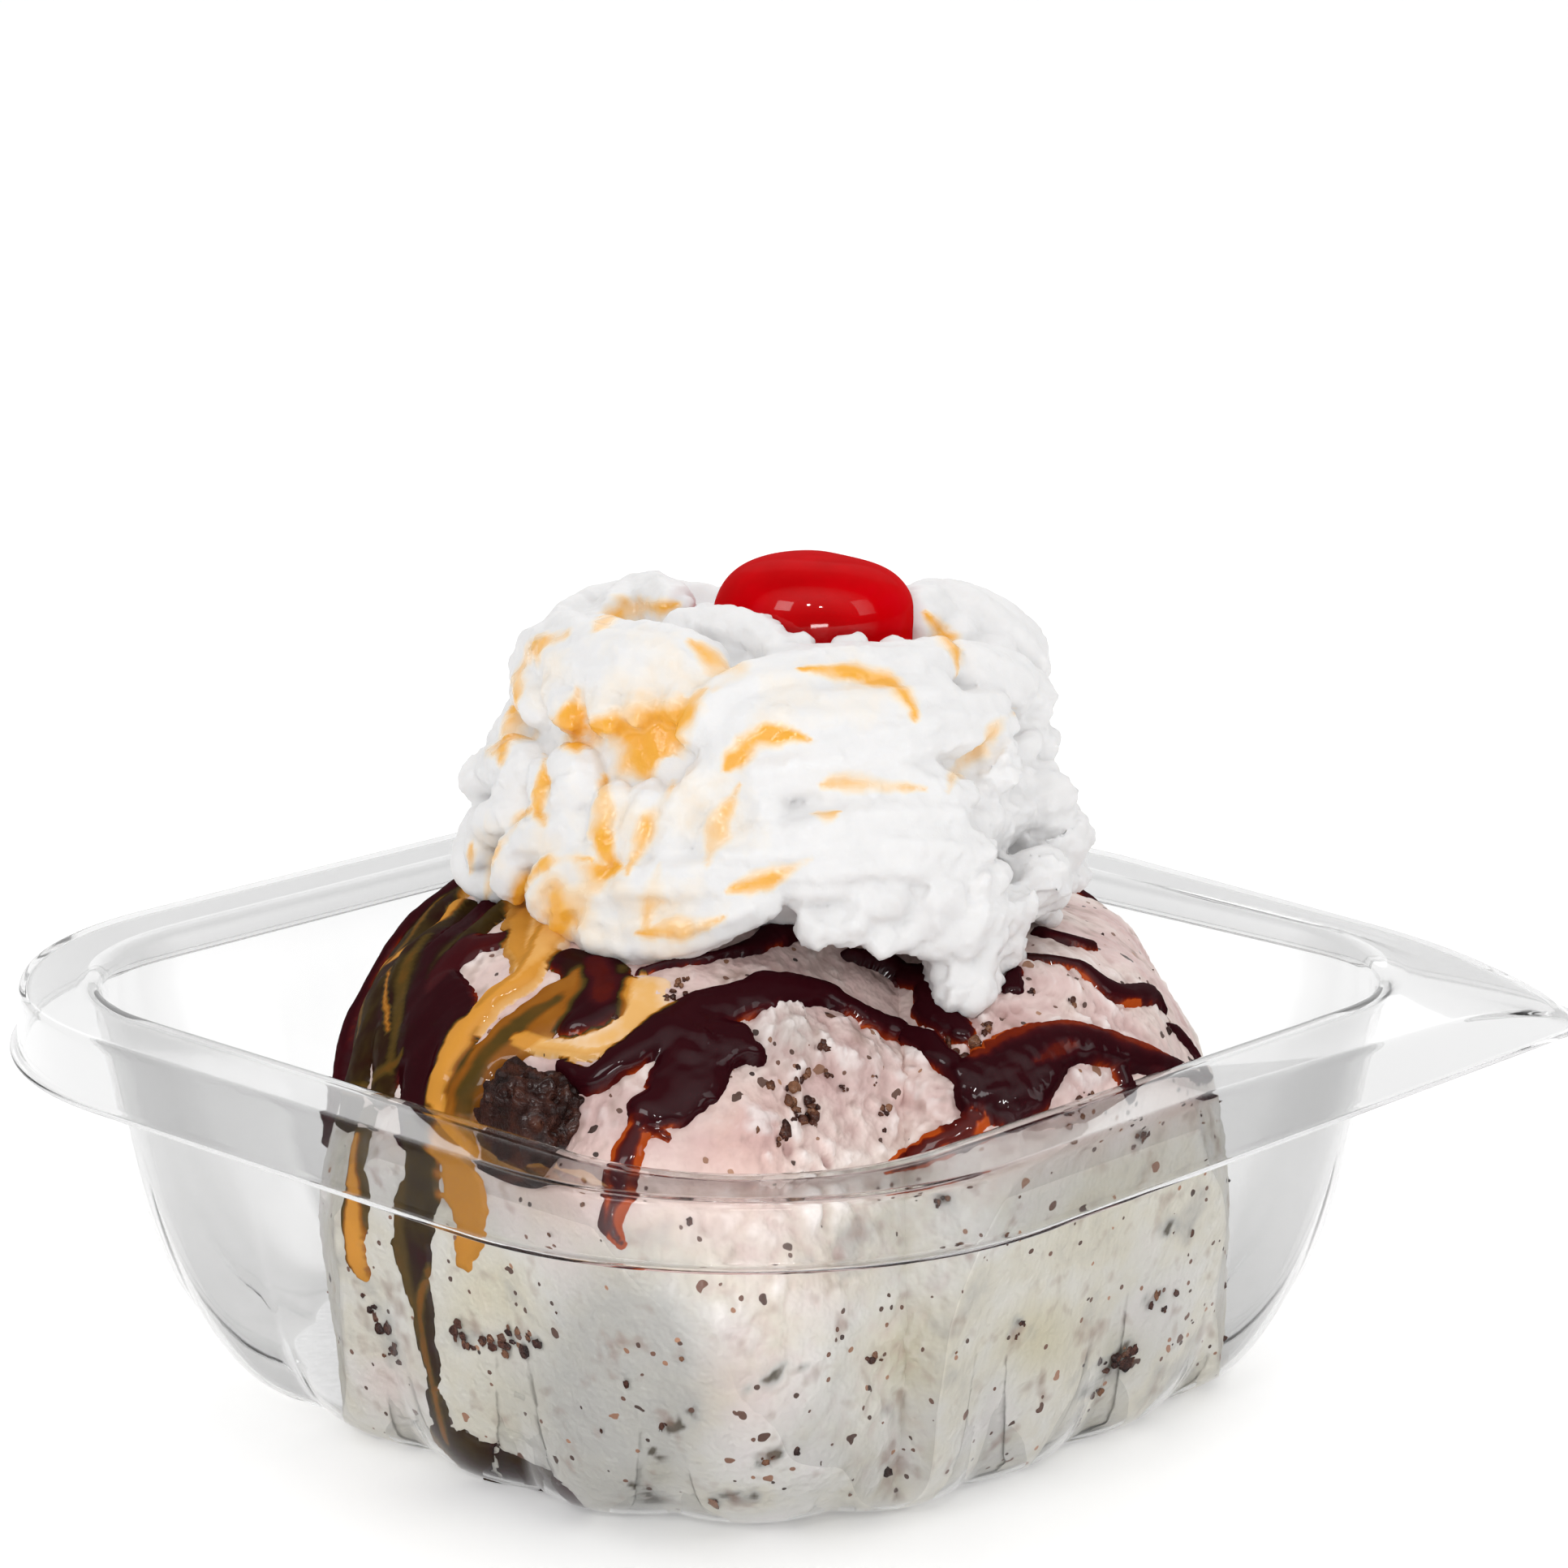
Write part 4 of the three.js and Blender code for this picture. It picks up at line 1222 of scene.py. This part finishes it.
# Caramel on the cream: how strong, then picture points with half its width in mm.
creamDrizzle = [
    (1.0, [(868, 850, 1.2), (840, 880, 2.6), (808, 905, 3.6), (792, 935, 3.2), (800, 958, 1.6)]),
    (0.95, [(715, 895, 1.2), (760, 900, 2.2), (800, 905, 2.4)]),
    (1.0, [(634, 870, 1.2), (627, 905, 2.2), (618, 932, 1.6)]),
    (1.0, [(712, 850, 0.9), (706, 895, 2.0), (710, 925, 1.4)]),
    (1.0, [(985, 824, 0.5), (1015, 826, 0.8), (1070, 830, 1.0), (1105, 845, 1.3), (1122, 868, 1.2),
           (1128, 886, 0.8)]),
    (1.0, [(895, 946, 0.9), (910, 930, 1.3), (930, 912, 1.2), (965, 904, 1.0), (998, 912, 0.6)]),
    (0.95, [(1140, 755, 0.7), (1165, 785, 1.3), (1178, 805, 1.5), (1178, 828, 1.0)]),
    (0.6, [(1252, 878, 0.5), (1238, 892, 0.8), (1210, 915, 0.9), (1180, 950, 0.8), (1168, 976, 0.5)]),
    (0.7, [(1012, 968, 0.6), (1040, 965, 0.9), (1075, 966, 0.9), (1140, 972, 0.6)]),
    (0.9, [(1002, 1002, 0.6), (1020, 1004, 0.8), (1035, 1000, 0.4)]),
    (0.75, [(910, 968, 0.6), (900, 990, 0.9), (885, 1020, 1.3), (878, 1045, 1.0), (872, 1066, 0.6)]),
    (0.8, [(830, 962, 0.6), (820, 985, 0.8), (800, 1015, 1.0), (785, 1055, 0.9), (774, 1078, 0.6)]),
    (0.9, [(745, 960, 1.0), (740, 1010, 1.4), (745, 1050, 1.2), (765, 1070, 0.8)]),
    (0.8, [(850, 792, 0.8), (878, 812, 1.3), (900, 830, 1.4), (880, 850, 0.9)]),
    (0.9, [(672, 930, 0.5), (670, 965, 0.9), (662, 995, 0.8), (672, 1015, 1.0)]),
    (0.85, [(735, 775, 1.3), (765, 755, 1.3), (800, 748, 1.0), (835, 745, 0.8)]),
    (0.8, [(700, 782, 1.2), (660, 798, 1.6), (642, 830, 1.5), (636, 870, 1.3)]),
    (0.85, [(895, 1098, 0.6), (920, 1090, 0.9), (950, 1083, 1.0), (975, 1070, 0.8), (1000, 1058, 0.5)]),
    (0.8, [(785, 1150, 0.6), (808, 1150, 0.9), (840, 1146, 1.0), (868, 1140, 0.8), (892, 1130, 0.5)]),
    (0.6, [(812, 1064, 0.6), (806, 1085, 0.9), (800, 1105, 1.2), (796, 1130, 0.8), (794, 1150, 0.5)]),
    (0.8, [(656, 996, 0.5), (640, 1010, 0.7), (612, 1050, 0.8), (602, 1090, 0.8), (598, 1112, 0.6)]),
    (1.0, [(730, 1058, 0.6), (680, 1062, 0.8), (645, 1090, 1.0), (640, 1130, 1.2)]),
    (1.0, [(758, 1072, 1.4), (716, 1085, 2.6), (690, 1115, 3.2), (680, 1150, 3.2)]),
    (0.8, [(582, 1040, 0.5), (580, 1075, 0.7)]),
    # thin washes
    (0.24, [(660, 840, 6.0), (760, 850, 7.0), (860, 850, 5.0)]),
    (0.27, [(600, 1040, 4.0), (690, 1080, 6.0), (800, 1130, 6.0), (880, 1110, 4.0)]),
    (0.22, [(740, 1000, 5.0), (860, 1010, 6.0), (940, 1020, 4.0)]),
    (0.18, [(940, 880, 4.0), (1040, 850, 5.0), (1120, 860, 4.0)]),
]


def moundRadius(z):
    # radius of the skin at a height, straight between its rows
    table = np.array(creamBody["skin"])
    return np.interp(z, table[:, 0], table[:, 1], right=0.0)


def pictureToMound(spots):
    # first place where the line of sight enters the mound, or comes nearest to it, and its outward way
    p = sightPoints(spots, *view["creamSight"])
    c = np.array(creamBody["center"])
    apart = np.hypot(*np.moveaxis(p[..., :2] - c, -1, 0)) - moundRadius(p[..., 2])
    points = firstInside(p, apart, 0)
    small = 0.5
    fall = (moundRadius(points[:, 2] + small) - moundRadius(points[:, 2] - small)) / (2 * small)
    return points, unit(np.column_stack([unit(points[:, :2] - c), np.clip(-fall, 0, 6)]))


def ropeRings(path, radius, lead, shape):
    # lobed section r(1 - depth(1 - |cos(lobes a / 2)|)) carried along the path, ends drawn in as half balls
    ahead = unit(np.gradient(path, axis=0))
    side = unit(np.cross(ahead, lead))
    over = np.cross(side, ahead)
    gone = np.concatenate([[0], np.cumsum(np.linalg.norm(np.diff(path, axis=0), axis=1))])
    end = np.minimum(gone, gone[-1] - gone) / radius
    r = radius * np.sqrt(np.clip(1 - (1 - np.minimum(end, 1)) ** 2, 0.004, 1))
    a = turns(shape["sides"])
    turned = a[None] + shape["twist"] * (gone / max(gone[-1], 1e-6))[:, None]
    reach = r[:, None] * (1 - shape["lobeDepth"] * (1 - np.abs(np.cos(shape["lobes"] * turned / 2))))
    return (path[:, None] + (reach * np.cos(a))[..., None] * side[:, None]
            + (reach * np.sin(a))[..., None] * over[:, None])


def creamCore():
    # full middle: the core's radius by height turned about its axis, with the hollow for the cherry
    c = creamBody["center"]
    z, r = curveThrough(creamBody["core"], 60).T
    a = turns(96)
    r = r[:, None] * np.ones(len(a))
    core = np.stack([c[0] + r * np.cos(a), c[1] + r * np.sin(a), z[:, None] * np.ones(len(a))], -1)
    middle, wide, floor = creamBody["hollow"]
    apart = np.hypot(core[..., 0] - middle[0], core[..., 1] - middle[1])
    core[..., 2] = np.minimum(core[..., 2], floor + 1.2 * np.maximum(apart - wide, 0))
    return core


def creamParts():
    # the core and every rope as closed grids that run into each other, and the ropes' places and ways
    parts, trail = [creamCore()], []

    def addTrail(path):
        trail.append(np.hstack([path, unit(np.gradient(path, axis=0))]))

    for rope in creamRopes:
        row = curveThrough(rope, 26)
        points, out = pictureToMound(row[:, :2])
        ends = [2 * points[0] - points[1], 2 * points[-1] - points[-2]]
        smooth = np.vstack([ends[:1], points, ends[1:]])
        points = 0.25 * smooth[:-2] + 0.5 * smooth[1:-1] + 0.25 * smooth[2:]
        path = points - out * (row[:, 2:] * creamBody["sink"])
        grow = unit(path[-1] - path[0])
        path = np.vstack([path[0] - grow * row[0, 2] * 0.8, path, path[-1] + grow * row[-1, 2] * 0.8])
        radius = np.concatenate([row[:1, 2], row[:, 2], row[-1:, 2]])
        addTrail(path)
        parts.append(ropeRings(path, radius, np.vstack([out[:1], out, out[-1:]]), creamBody))
    row = curveThrough(creamDrip, 20)
    path, out = heapSkin(unit(pictureHits(row[:, :2]) - heapMiddle))
    parts.append(ropeRings(path + out * row[:, 2:] * creamBody["drip"], row[:, 2], out, creamBody))
    c = creamBody["center"]
    turn = np.radians(np.linspace(farRopes["from"], farRopes["to"], 70))
    wave = farRopes["wave"] * np.sin(turn * 3)
    for height, coil, radius in farRopes["layers"]:
        path = np.stack([c[0] + coil * np.cos(turn), c[1] + coil * np.sin(turn), height + wave], -1)
        addTrail(path)
        lead = np.tile([0.0, 0.0, 1.0], (len(turn), 1))
        parts.append(ropeRings(path, np.full(len(turn), radius), lead, farRopes))
    return parts, np.vstack(trail)


def pleats(p, trail):
    # fine ridges along the nearest rope: folded noise, long along the rope's way and short across it
    places, ways = trail[:, :3], trail[:, 3:]
    near = [((places ** 2).sum(1) - 2 * part @ places.T).argmin(1) for part in np.array_split(p, 16)]
    way = ways[np.concatenate(near)]
    along = (p * way).sum(1, keepdims=True)
    long, short = creamBody["pleat"]
    return np.abs(noise((p - way * along) / short + way * along / long, 83)) - 0.3


def joinGrids(parts):
    # closed grids as one list of points, with their faces numbered on
    points, quads, fans, start = [], [], [], 0
    for part in parts:
        p, q, f = closedGrid(part)
        points.append(p)
        quads.append(q + start)
        fans.append(f + start)
        start += len(p)
    return np.vstack(points), np.vstack(quads), np.vstack(fans)


def readMesh(mesh):
    # places and outward ways of the points
    points, normals = np.empty((2, len(mesh.vertices) * 3), np.float32)
    mesh.vertices.foreach_get("co", points)
    mesh.vertices.foreach_get("normal", normals)
    return points.reshape(-1, 3).astype(float), normals.reshape(-1, 3).astype(float)


def oneSkin(name, points, quads, fans, voxel):
    # parts that run into each other made one skin by a voxel remesh, softened a little
    raw = bpy.data.objects.new(name + "_raw", meshFrom(name + "_raw", points, quads, fans))
    scene.collection.objects.link(raw)
    remesh = raw.modifiers.new("oneSkin", "REMESH")
    remesh.mode = "VOXEL"
    remesh.voxel_size = voxel
    soft = raw.modifiers.new("soften", "SMOOTH")
    soft.factor = 0.5
    soft.iterations = 1
    mesh = bpy.data.meshes.new_from_object(raw.evaluated_get(bpy.context.evaluated_depsgraph_get()))
    mesh.name = name
    bpy.data.objects.remove(raw)
    mesh.shade_smooth()
    return mesh


def pictureToFaces(faces, spots):
    # places in mm where lines of sight through picture points meet the faces
    eye, ways = pictureRays(spots)
    start = Vector(toFrame(eye))
    hits = [faces.ray_cast(start, Vector(w))[0] for w in toBowl(ways)]
    return [None if h is None else np.array(h) / milli for h in hits]


def drizzleShares(p, mesh):
    # how much caramel lies on each point: strongest in the middle of a strand, pointed at its ends, blotchy
    drizzle = np.zeros(len(p))
    faces = BVHTree.FromPolygons([v.co for v in mesh.vertices], [f.vertices for f in mesh.polygons])
    for strength, way in creamDrizzle:
        row = curveThrough(way, 12 * len(way))
        hits = pictureToFaces(faces, row[:, :2])
        kept = [k for k, h in enumerate(hits) if h is not None]
        if len(kept) < 2:
            continue
        path = np.array([hits[k] for k in kept])
        half = row[kept, 2] * (0.25 + 0.75 * np.sin(np.pi * np.linspace(0.05, 0.95, len(kept))) ** 0.6)
        todo = around(p, path, half.max() + 2.5)
        apart, k = nearestOn(p[todo], path)
        width = np.interp(k, np.arange(len(half)), half)
        x = (apart + 0.6 * layered(p[todo], 3.0, 3, 81) * np.minimum(width, 1.5)) / (1.25 * width)
        blotch = np.clip(0.9 + 0.9 * noise(p[todo] / 5.0, 85), 0.25, 1.1)
        drizzle[todo] = np.maximum(drizzle[todo], strength * (1 - smoothStep(0.0, 1.7, x)) * blotch)
    return drizzle


def creamMesh():
    # one skin over core and ropes, lifted by clumps where it is torn and by fine pleats elsewhere
    body = creamBody
    parts, trail = creamParts()
    points, quads, fans = joinGrids(parts)
    mesh = oneSkin("whipped_cream", toFrame(points), quads, fans, body["voxel"] * milli)
    p, n = readMesh(mesh)
    p /= milli
    heap = toHeap(p)
    c = body["center"]
    bearing = np.degrees(np.arctan2(heap[:, 1] - c[1], heap[:, 0] - c[0])) % 360
    torn = np.zeros(len(p))
    for share, bearings, heights in body["torn"]:
        low = 1 - smoothStep(*heights, heap[:, 2])
        torn = np.maximum(torn, share * smoothStep(*bearings, bearing) * low)
    tear = unit(np.array(body["tear"]))
    pulled = heap - 0.5 * (heap @ tear)[:, None] * tear
    lift = torn * (1.5 * (crumbs(pulled, 4.6, 3, 71) - 0.5) + 0.4 * (crumbs(pulled, 1.9, 2, 73) - 0.4))
    lift += body["pleatHeight"] * pleats(heap, trail) * (1 - 0.7 * torn)
    lift += 0.06 * layered(heap, 2.4, 2, 75) + 0.2 * layered(heap, 9.0, 2, 77)
    drizzle = drizzleShares(p, mesh)
    p += n * (lift + body["drizzleHeight"] * drizzle)[:, None]
    mesh.vertices.foreach_set("co", (p * milli).astype(np.float32).ravel())
    mesh.update()
    addShare(mesh, "drizzle", drizzle)
    return mesh


def makeCream():
    # white that light goes into a little, with caramel over it by the drizzle's share
    look = creamLook
    material, tree, shader = newMaterial("whippedCream")
    shade, relief = grain(tree, look["grain"])
    wet = addWaver(tree, shareOf(tree, "drizzle"), shade, 0.5)
    share = fade(tree, wet, [(0.08, 0), (0.9, 1)])
    color = blendColor(tree, share, ramp(tree, shade, look["white"]), ramp(tree, wet, look["gold"]))
    setShader(tree, shader, Base_Color=color, Roughness=fade(tree, wet, [(0.1, 0.5), (0.6, 0.22)]),
              Subsurface_Weight=look["glow"], Subsurface_Radius=look["glowWay"],
              Subsurface_Scale=look["glowDepth"], Normal=bump(tree, relief, 0.15, 0.0004))
    return material


addPiece("whipped_cream_swirl", creamMesh(), makeCream(), ["whipped_cream"])


# Cherry: a rounded body, flat on top, fuller to the right, dented where its stem was.
cherryShape = {
    "center": (7.9, -14.8, 88.6),
    "radii": (11.5, 10.0, 9.0),
    "power": 3.4,
    "lean": 0.13,              # radians to the right
    "swell": 0.03,
    "dent": (0.45, 0.65),      # place on top, as shares of the radii
    "dentSize": 0.06,          # square of its width
    "dentDepth": 0.16,
    "columns": 160,
    "rows": 96,
}
cherryLook = {
    "grain": 110.0,            # a metre
    "red": [(0.3, (0.44, 0.0, 0.001)), (0.6, (0.56, 0.0, 0.002)), (0.8, (0.60, 0.0, 0.010))],
    "glow": 0.2,
    "glowWay": (1.0, 0.1, 0.08),
    "glowDepth": 0.002,
}


def cherryPoints():
    # body between a ball and a block, with a slow swelling, a shallow dent and a top that rises to the right
    s = cherryShape
    p = wholeBlock(s)
    x, y, z = np.moveaxis(p, -1, 0)
    dent = np.exp(-((x - s["dent"][0]) ** 2 + (y - s["dent"][1]) ** 2) / s["dentSize"]) * (z > 0)
    tilt = 0.06 * x - 0.05 * x ** 2
    p = p * (1 + s["swell"] * np.sin(2.3 * x + 1.1) - s["dentDepth"] * dent)[..., None]
    p[..., 2] += tilt * (p[..., 2] > 0)
    p = p * np.array(s["radii"])
    c, d = math.cos(s["lean"]), math.sin(s["lean"])
    p = np.stack([p[..., 0] * c + p[..., 2] * d, p[..., 1], p[..., 2] * c - p[..., 0] * d], -1)
    return p + np.array(s["center"])


def makeCherry():
    # deep red that light goes into, glazed
    look = cherryLook
    material, tree, shader = newMaterial("glazedCherry")
    shade, relief = grain(tree, look["grain"])
    setShader(tree, shader, Base_Color=ramp(tree, shade, look["red"]),
              Roughness=fade(tree, shade, [(0.3, 0.07), (0.7, 0.12)]), Subsurface_Weight=look["glow"],
              Subsurface_Radius=look["glowWay"], Subsurface_Scale=look["glowDepth"],
              Specular_IOR_Level=0.0, Coat_Weight=byFacing(tree, wetSheen), Coat_Roughness=0.05,
              Normal=bump(tree, relief, 0.06, 0.0004))
    return material


addPiece("glazed_cherry", closedMesh("glazed_cherry", cherryPoints()), makeCherry(), ["cherry"])


# Brownie chunk and cookie bits.
brownie = {
    "center": (-20.8, -55.2, 44.2),
    "radii": (6.1, 6.2, 7.2),
    "power": 3.4,
    "square": 0.8,
    "crumb": 1.9,              # mm
    "crumbSize": 3.6,
    "swell": 0.9,              # mm
    "swellSize": 6.0,
    "pit": 1.0,                # mm
    "pitSize": 2.4,
    "clear": 0.2,              # mm short of the wall
    "columns": 150,
    "rows": 90,
}
brownieLook = {
    "grain": 420.0,            # a metre
    "brown": [(0.3, (0.012, 0.004, 0.003)), (0.5, (0.036, 0.011, 0.008)), (0.7, (0.10, 0.035, 0.022)),
              (1.0, (0.28, 0.13, 0.07))],
    "paler": 0.45,             # how much paler the palest bits are
}
bits = {
    "seed": 23,
    "cluster": 5,              # crumbs at each place
    "scattered": 95,
    "sizes": (0.2, 0.6),       # mm, half, of the scattered ones
    "rises": (-18, 48),        # degrees, where they lie
    "shares": (0.22, 0.62),    # of its place's half size, for each crumb in a cluster
    "stray": 0.55,
    "stretch": (0.6, 1.3),
    "rough": 0.6,
    "lift": 0.1,               # mm over the skin
    # places of the clusters: picture point and half size in mm
    "placed": [
        (838, 1222, 1.0), (826, 1234, 0.6), (850, 1232, 0.55), (845, 1212, 0.5), (975, 1393, 1.7),
        (962, 1404, 1.0), (985, 1380, 0.8), (1075, 1332, 0.5), (1040, 1341, 0.5), (1094, 1366, 0.8),
        (1018, 1322, 0.5), (1400, 1400, 1.0), (1440, 1510, 1.1), (1376, 1668, 1.7), (1364, 1676, 1.1),
        (1388, 1662, 1.0), (1068, 1672, 0.7), (1416, 1600, 0.8), (1444, 1588, 0.6), (1464, 1628, 0.6),
        (1430, 1612, 0.5), (1256, 1632, 0.7), (1250, 1645, 0.5), (566, 1646, 1.1), (584, 1652, 1.3),
        (604, 1650, 1.1), (622, 1656, 1.2), (642, 1652, 1.4), (660, 1646, 1.0), (634, 1640, 0.8),
        (466, 1610, 1.0), (478, 1630, 1.3), (488, 1652, 1.3), (474, 1664, 0.9), (492, 1676, 0.9),
        (456, 1598, 0.7), (940, 1796, 0.8), (952, 1790, 0.6), (812, 1758, 1.0), (826, 1754, 0.9),
        (1345, 1715, 0.6), (1316, 1240, 0.5), (1270, 1225, 0.5), (1478, 1375, 0.7), (700, 1600, 0.5),
        (1180, 1535, 0.5), (1130, 1470, 0.6), (1155, 1478, 0.5), (1178, 1296, 1.3), (1196, 1284, 1.0),
        (1160, 1284, 0.8), (1210, 1268, 0.8), (1330, 1366, 1.0), (1345, 1352, 0.8), (1296, 1374, 0.6),
        (1010, 1292, 0.8), (985, 1330, 1.0), (970, 1345, 1.2), (1000, 1362, 0.8),
    ],
}


def browniePoints():
    # a body close to a block on a grid of turn and rise, broken up by crumbs, swellings and pits
    s = brownie
    grid = wholeBlock(s, s["square"])
    p = grid.reshape(-1, 3) * np.array(s["radii"]) + np.array(s["center"])
    out = unit(p - np.array(s["center"]))
    lift = s["crumb"] * (crumbs(p, s["crumbSize"], 3, 91) - 0.55) + s["swell"] * noise(p / s["swellSize"], 95)
    lift -= s["pit"] * smoothStep(0.34, 0.1, cellGap(p, s["pitSize"], 97))
    return keepInBowl(p + out * lift[:, None], -s["clear"]).reshape(grid.shape)


def makeBrownie():
    # dark crumb, moist; each bit has its own share of paleness
    look = brownieLook
    material, tree, shader = newMaterial("brownieCrumb")
    shade, relief = grain(tree, look["grain"])
    shade = maths(tree, "ADD", shade, maths(tree, "MULTIPLY", shareOf(tree, "brown"), look["paler"]))
    setShader(tree, shader, Base_Color=ramp(tree, shade, look["brown"]),
              Roughness=fade(tree, shade, [(0.3, 0.35), (0.7, 0.75)]), Specular_IOR_Level=0.1,
              Coat_Weight=byFacing(tree, wetSheen), Coat_Roughness=0.2,
              Normal=bump(tree, relief, 0.9, 0.0008))
    return material


def smallBall():
    # points and triangles of a ball of radius 1
    ball = bpy.data.meshes.new("ball")
    made = bmesh.new()
    bmesh.ops.create_icosphere(made, subdivisions=2, radius=1.0)
    made.to_mesh(ball)
    made.free()
    points = np.array([v.co for v in ball.vertices])
    faces = np.array([p.vertices for p in ball.polygons])
    bpy.data.meshes.remove(ball)
    return points, faces


def bitMesh():
    # joined rough pebbles: a small ball pulled out of shape by noise, one copy at each place
    s = bits
    shape, faces = smallBall()
    rng = np.random.default_rng(s["seed"])
    turn = rng.uniform(0, 2 * np.pi, s["scattered"])
    rise = np.radians(rng.uniform(*s["rises"], s["scattered"]))
    loose, _ = heapSkin(wayAt(rise, turn))
    places = np.repeat(np.array(s["placed"], float), s["cluster"], axis=0)
    spans = places[:, 2]
    placed = pictureHits(places[:, :2]) + rng.normal(0, s["stray"], places.shape) * spans[:, None]
    inside = wallOut(placed)[:, None] < -1.5   # away from the wall they lie on the skin
    placed = np.where(inside, heapSkin(unit(placed - heapMiddle))[0], placed)
    spots = np.vstack([placed, loose])
    count = len(spots)
    sizes = np.concatenate([spans * rng.uniform(*s["shares"], len(spans)),
                            rng.uniform(*s["sizes"], s["scattered"]) ** 1.5 / s["sizes"][1] ** 0.5])
    _, out = heapSkin(unit(spots - heapMiddle))
    spots = spots + out * (slowRelief(spots) + s["lift"])[:, None]
    stretch = rng.uniform(*s["stretch"], (count, 1, 3))
    lumps = noise((shape[None] * 1.3 + rng.uniform(0, 90, (count, 1, 3))).reshape(-1, 3), 7)
    bent = shape[None] * (1 + s["rough"] * lumps.reshape(count, -1, 1))
    p = spots[:, None] + bent * stretch * sizes[:, None, None]
    p = keepInBowl(p.reshape(-1, 3), sauce["reach"] - 0.05)
    triangles = (faces[None] + (np.arange(count) * len(shape))[:, None, None]).reshape(-1, 3)
    mesh = meshFrom("cookie_bits", toFrame(p), np.zeros((0, 4), int), triangles)
    addShare(mesh, "brown", np.repeat(rng.uniform(0, 1, count) ** 1.5, len(shape)))
    return mesh


crumbFinish = makeBrownie()
brownieMesh = closedMesh("brownie_piece", browniePoints())
addPiece("brownie_piece", brownieMesh, crumbFinish, ["brownie_chunk"])
addPiece("cookie_bits", bitMesh(), crumbFinish)


# Stage: pale floor, soft boxes and the camera.
stage = {
    "floorSide": 14.0,         # metres
    "floorColor": (0.91, 0.91, 0.91, 1),
    "floorGlow": 0.26,
    "aim": (0, 0, 0.05),       # metres, where the boxes point
    # brightness of the room by how far a direction leans to the bright side, which is up and away
    "brightSide": (0.0, 0.45, 0.9),
    "room": [(0.0, 0.08), (0.40, 0.11), (0.55, 0.36), (0.75, 0.80), (1.0, 1.06)],
    # place in heap layout (mm), side lengths (m), watts
    "boxes": {
        "leftFront": ((-620, -760, 640), (0.34, 0.34), 1.95),
        "rightFill": ((800, -450, 500), (0.4, 0.5), 1.4),
        "backRim": ((100, 900, 600), (1.0, 0.5), 0.9),
        "frontWindow": ((70, -1100, 118), (0.35, 0.06), 1.5),
        "sparkLeft": ((-150, -900, 700), (0.05, 0.05), 0.9),
        "sparkRight": ((90, -950, 640), (0.05, 0.04), 0.6),
    },
}


def addStage():
    # floor, room light by direction, and one area light for each box
    half = stage["floorSide"] / 2
    points = np.array([[-half, -half, 0], [half, -half, 0], [half, half, 0], [-half, half, 0]])
    mesh = meshFrom("floor", points, np.array([[0, 1, 2, 3]]), noTriangles)
    material, tree, shader = newMaterial("paleFloor")
    setShader(tree, shader, Base_Color=stage["floorColor"], Roughness=0.7, Emission_Color=(1, 1, 1, 1),
              Emission_Strength=stage["floorGlow"])
    mesh.materials.append(material)
    floor = bpy.data.objects.new("floor", mesh)
    scene.collection.objects.link(floor)
    world = bpy.data.worlds.new("softRoom")
    scene.world = world
    world.use_nodes = True
    tree = world.node_tree
    way = put(tree, "TexCoord").outputs["Generated"]
    lean = toBowl(unit(np.array(stage["brightSide"])))
    share = put(tree, "VectorMath", {0: way, 1: tuple(lean)}, operation="DOT_PRODUCT").outputs["Value"]
    share = put(tree, "MapRange", {"Value": share, "From Min": -1.0}).outputs[0]
    tree.links.new(fade(tree, share, stage["room"]), tree.nodes["Background"].inputs["Color"])
    aim = Vector(stage["aim"])
    for name, (place, size, watts) in stage["boxes"].items():
        lamp = bpy.data.lights.new(name, "AREA")
        lamp.shape = "RECTANGLE"
        lamp.size, lamp.size_y = size
        lamp.energy = watts
        box = bpy.data.objects.new(name, lamp)
        box.location = Vector(toFrame(np.array(place, float)))
        box.rotation_euler = (aim - box.location).to_track_quat("-Z", "Y").to_euler()
        scene.collection.objects.link(box)


def addCamera():
    # lens from the focal length in picture points over the picture's width
    lens = bpy.data.cameras.new("camera")
    lens.sensor_width = view["sensor"]
    lens.lens = view["sensor"] * view["focal"] / view["side"]
    lens.clip_start = 0.01
    camera = bpy.data.objects.new("camera", lens)
    camera.location = Vector(toFrame(np.array(view["place"])))
    camera.rotation_euler = (math.radians(90 - view["pitch"]), 0, heapTurn)
    scene.collection.objects.link(camera)
    scene.camera = camera


addStage()
addCamera()
scene.view_settings.view_transform = "Standard"
print("stage and camera set")
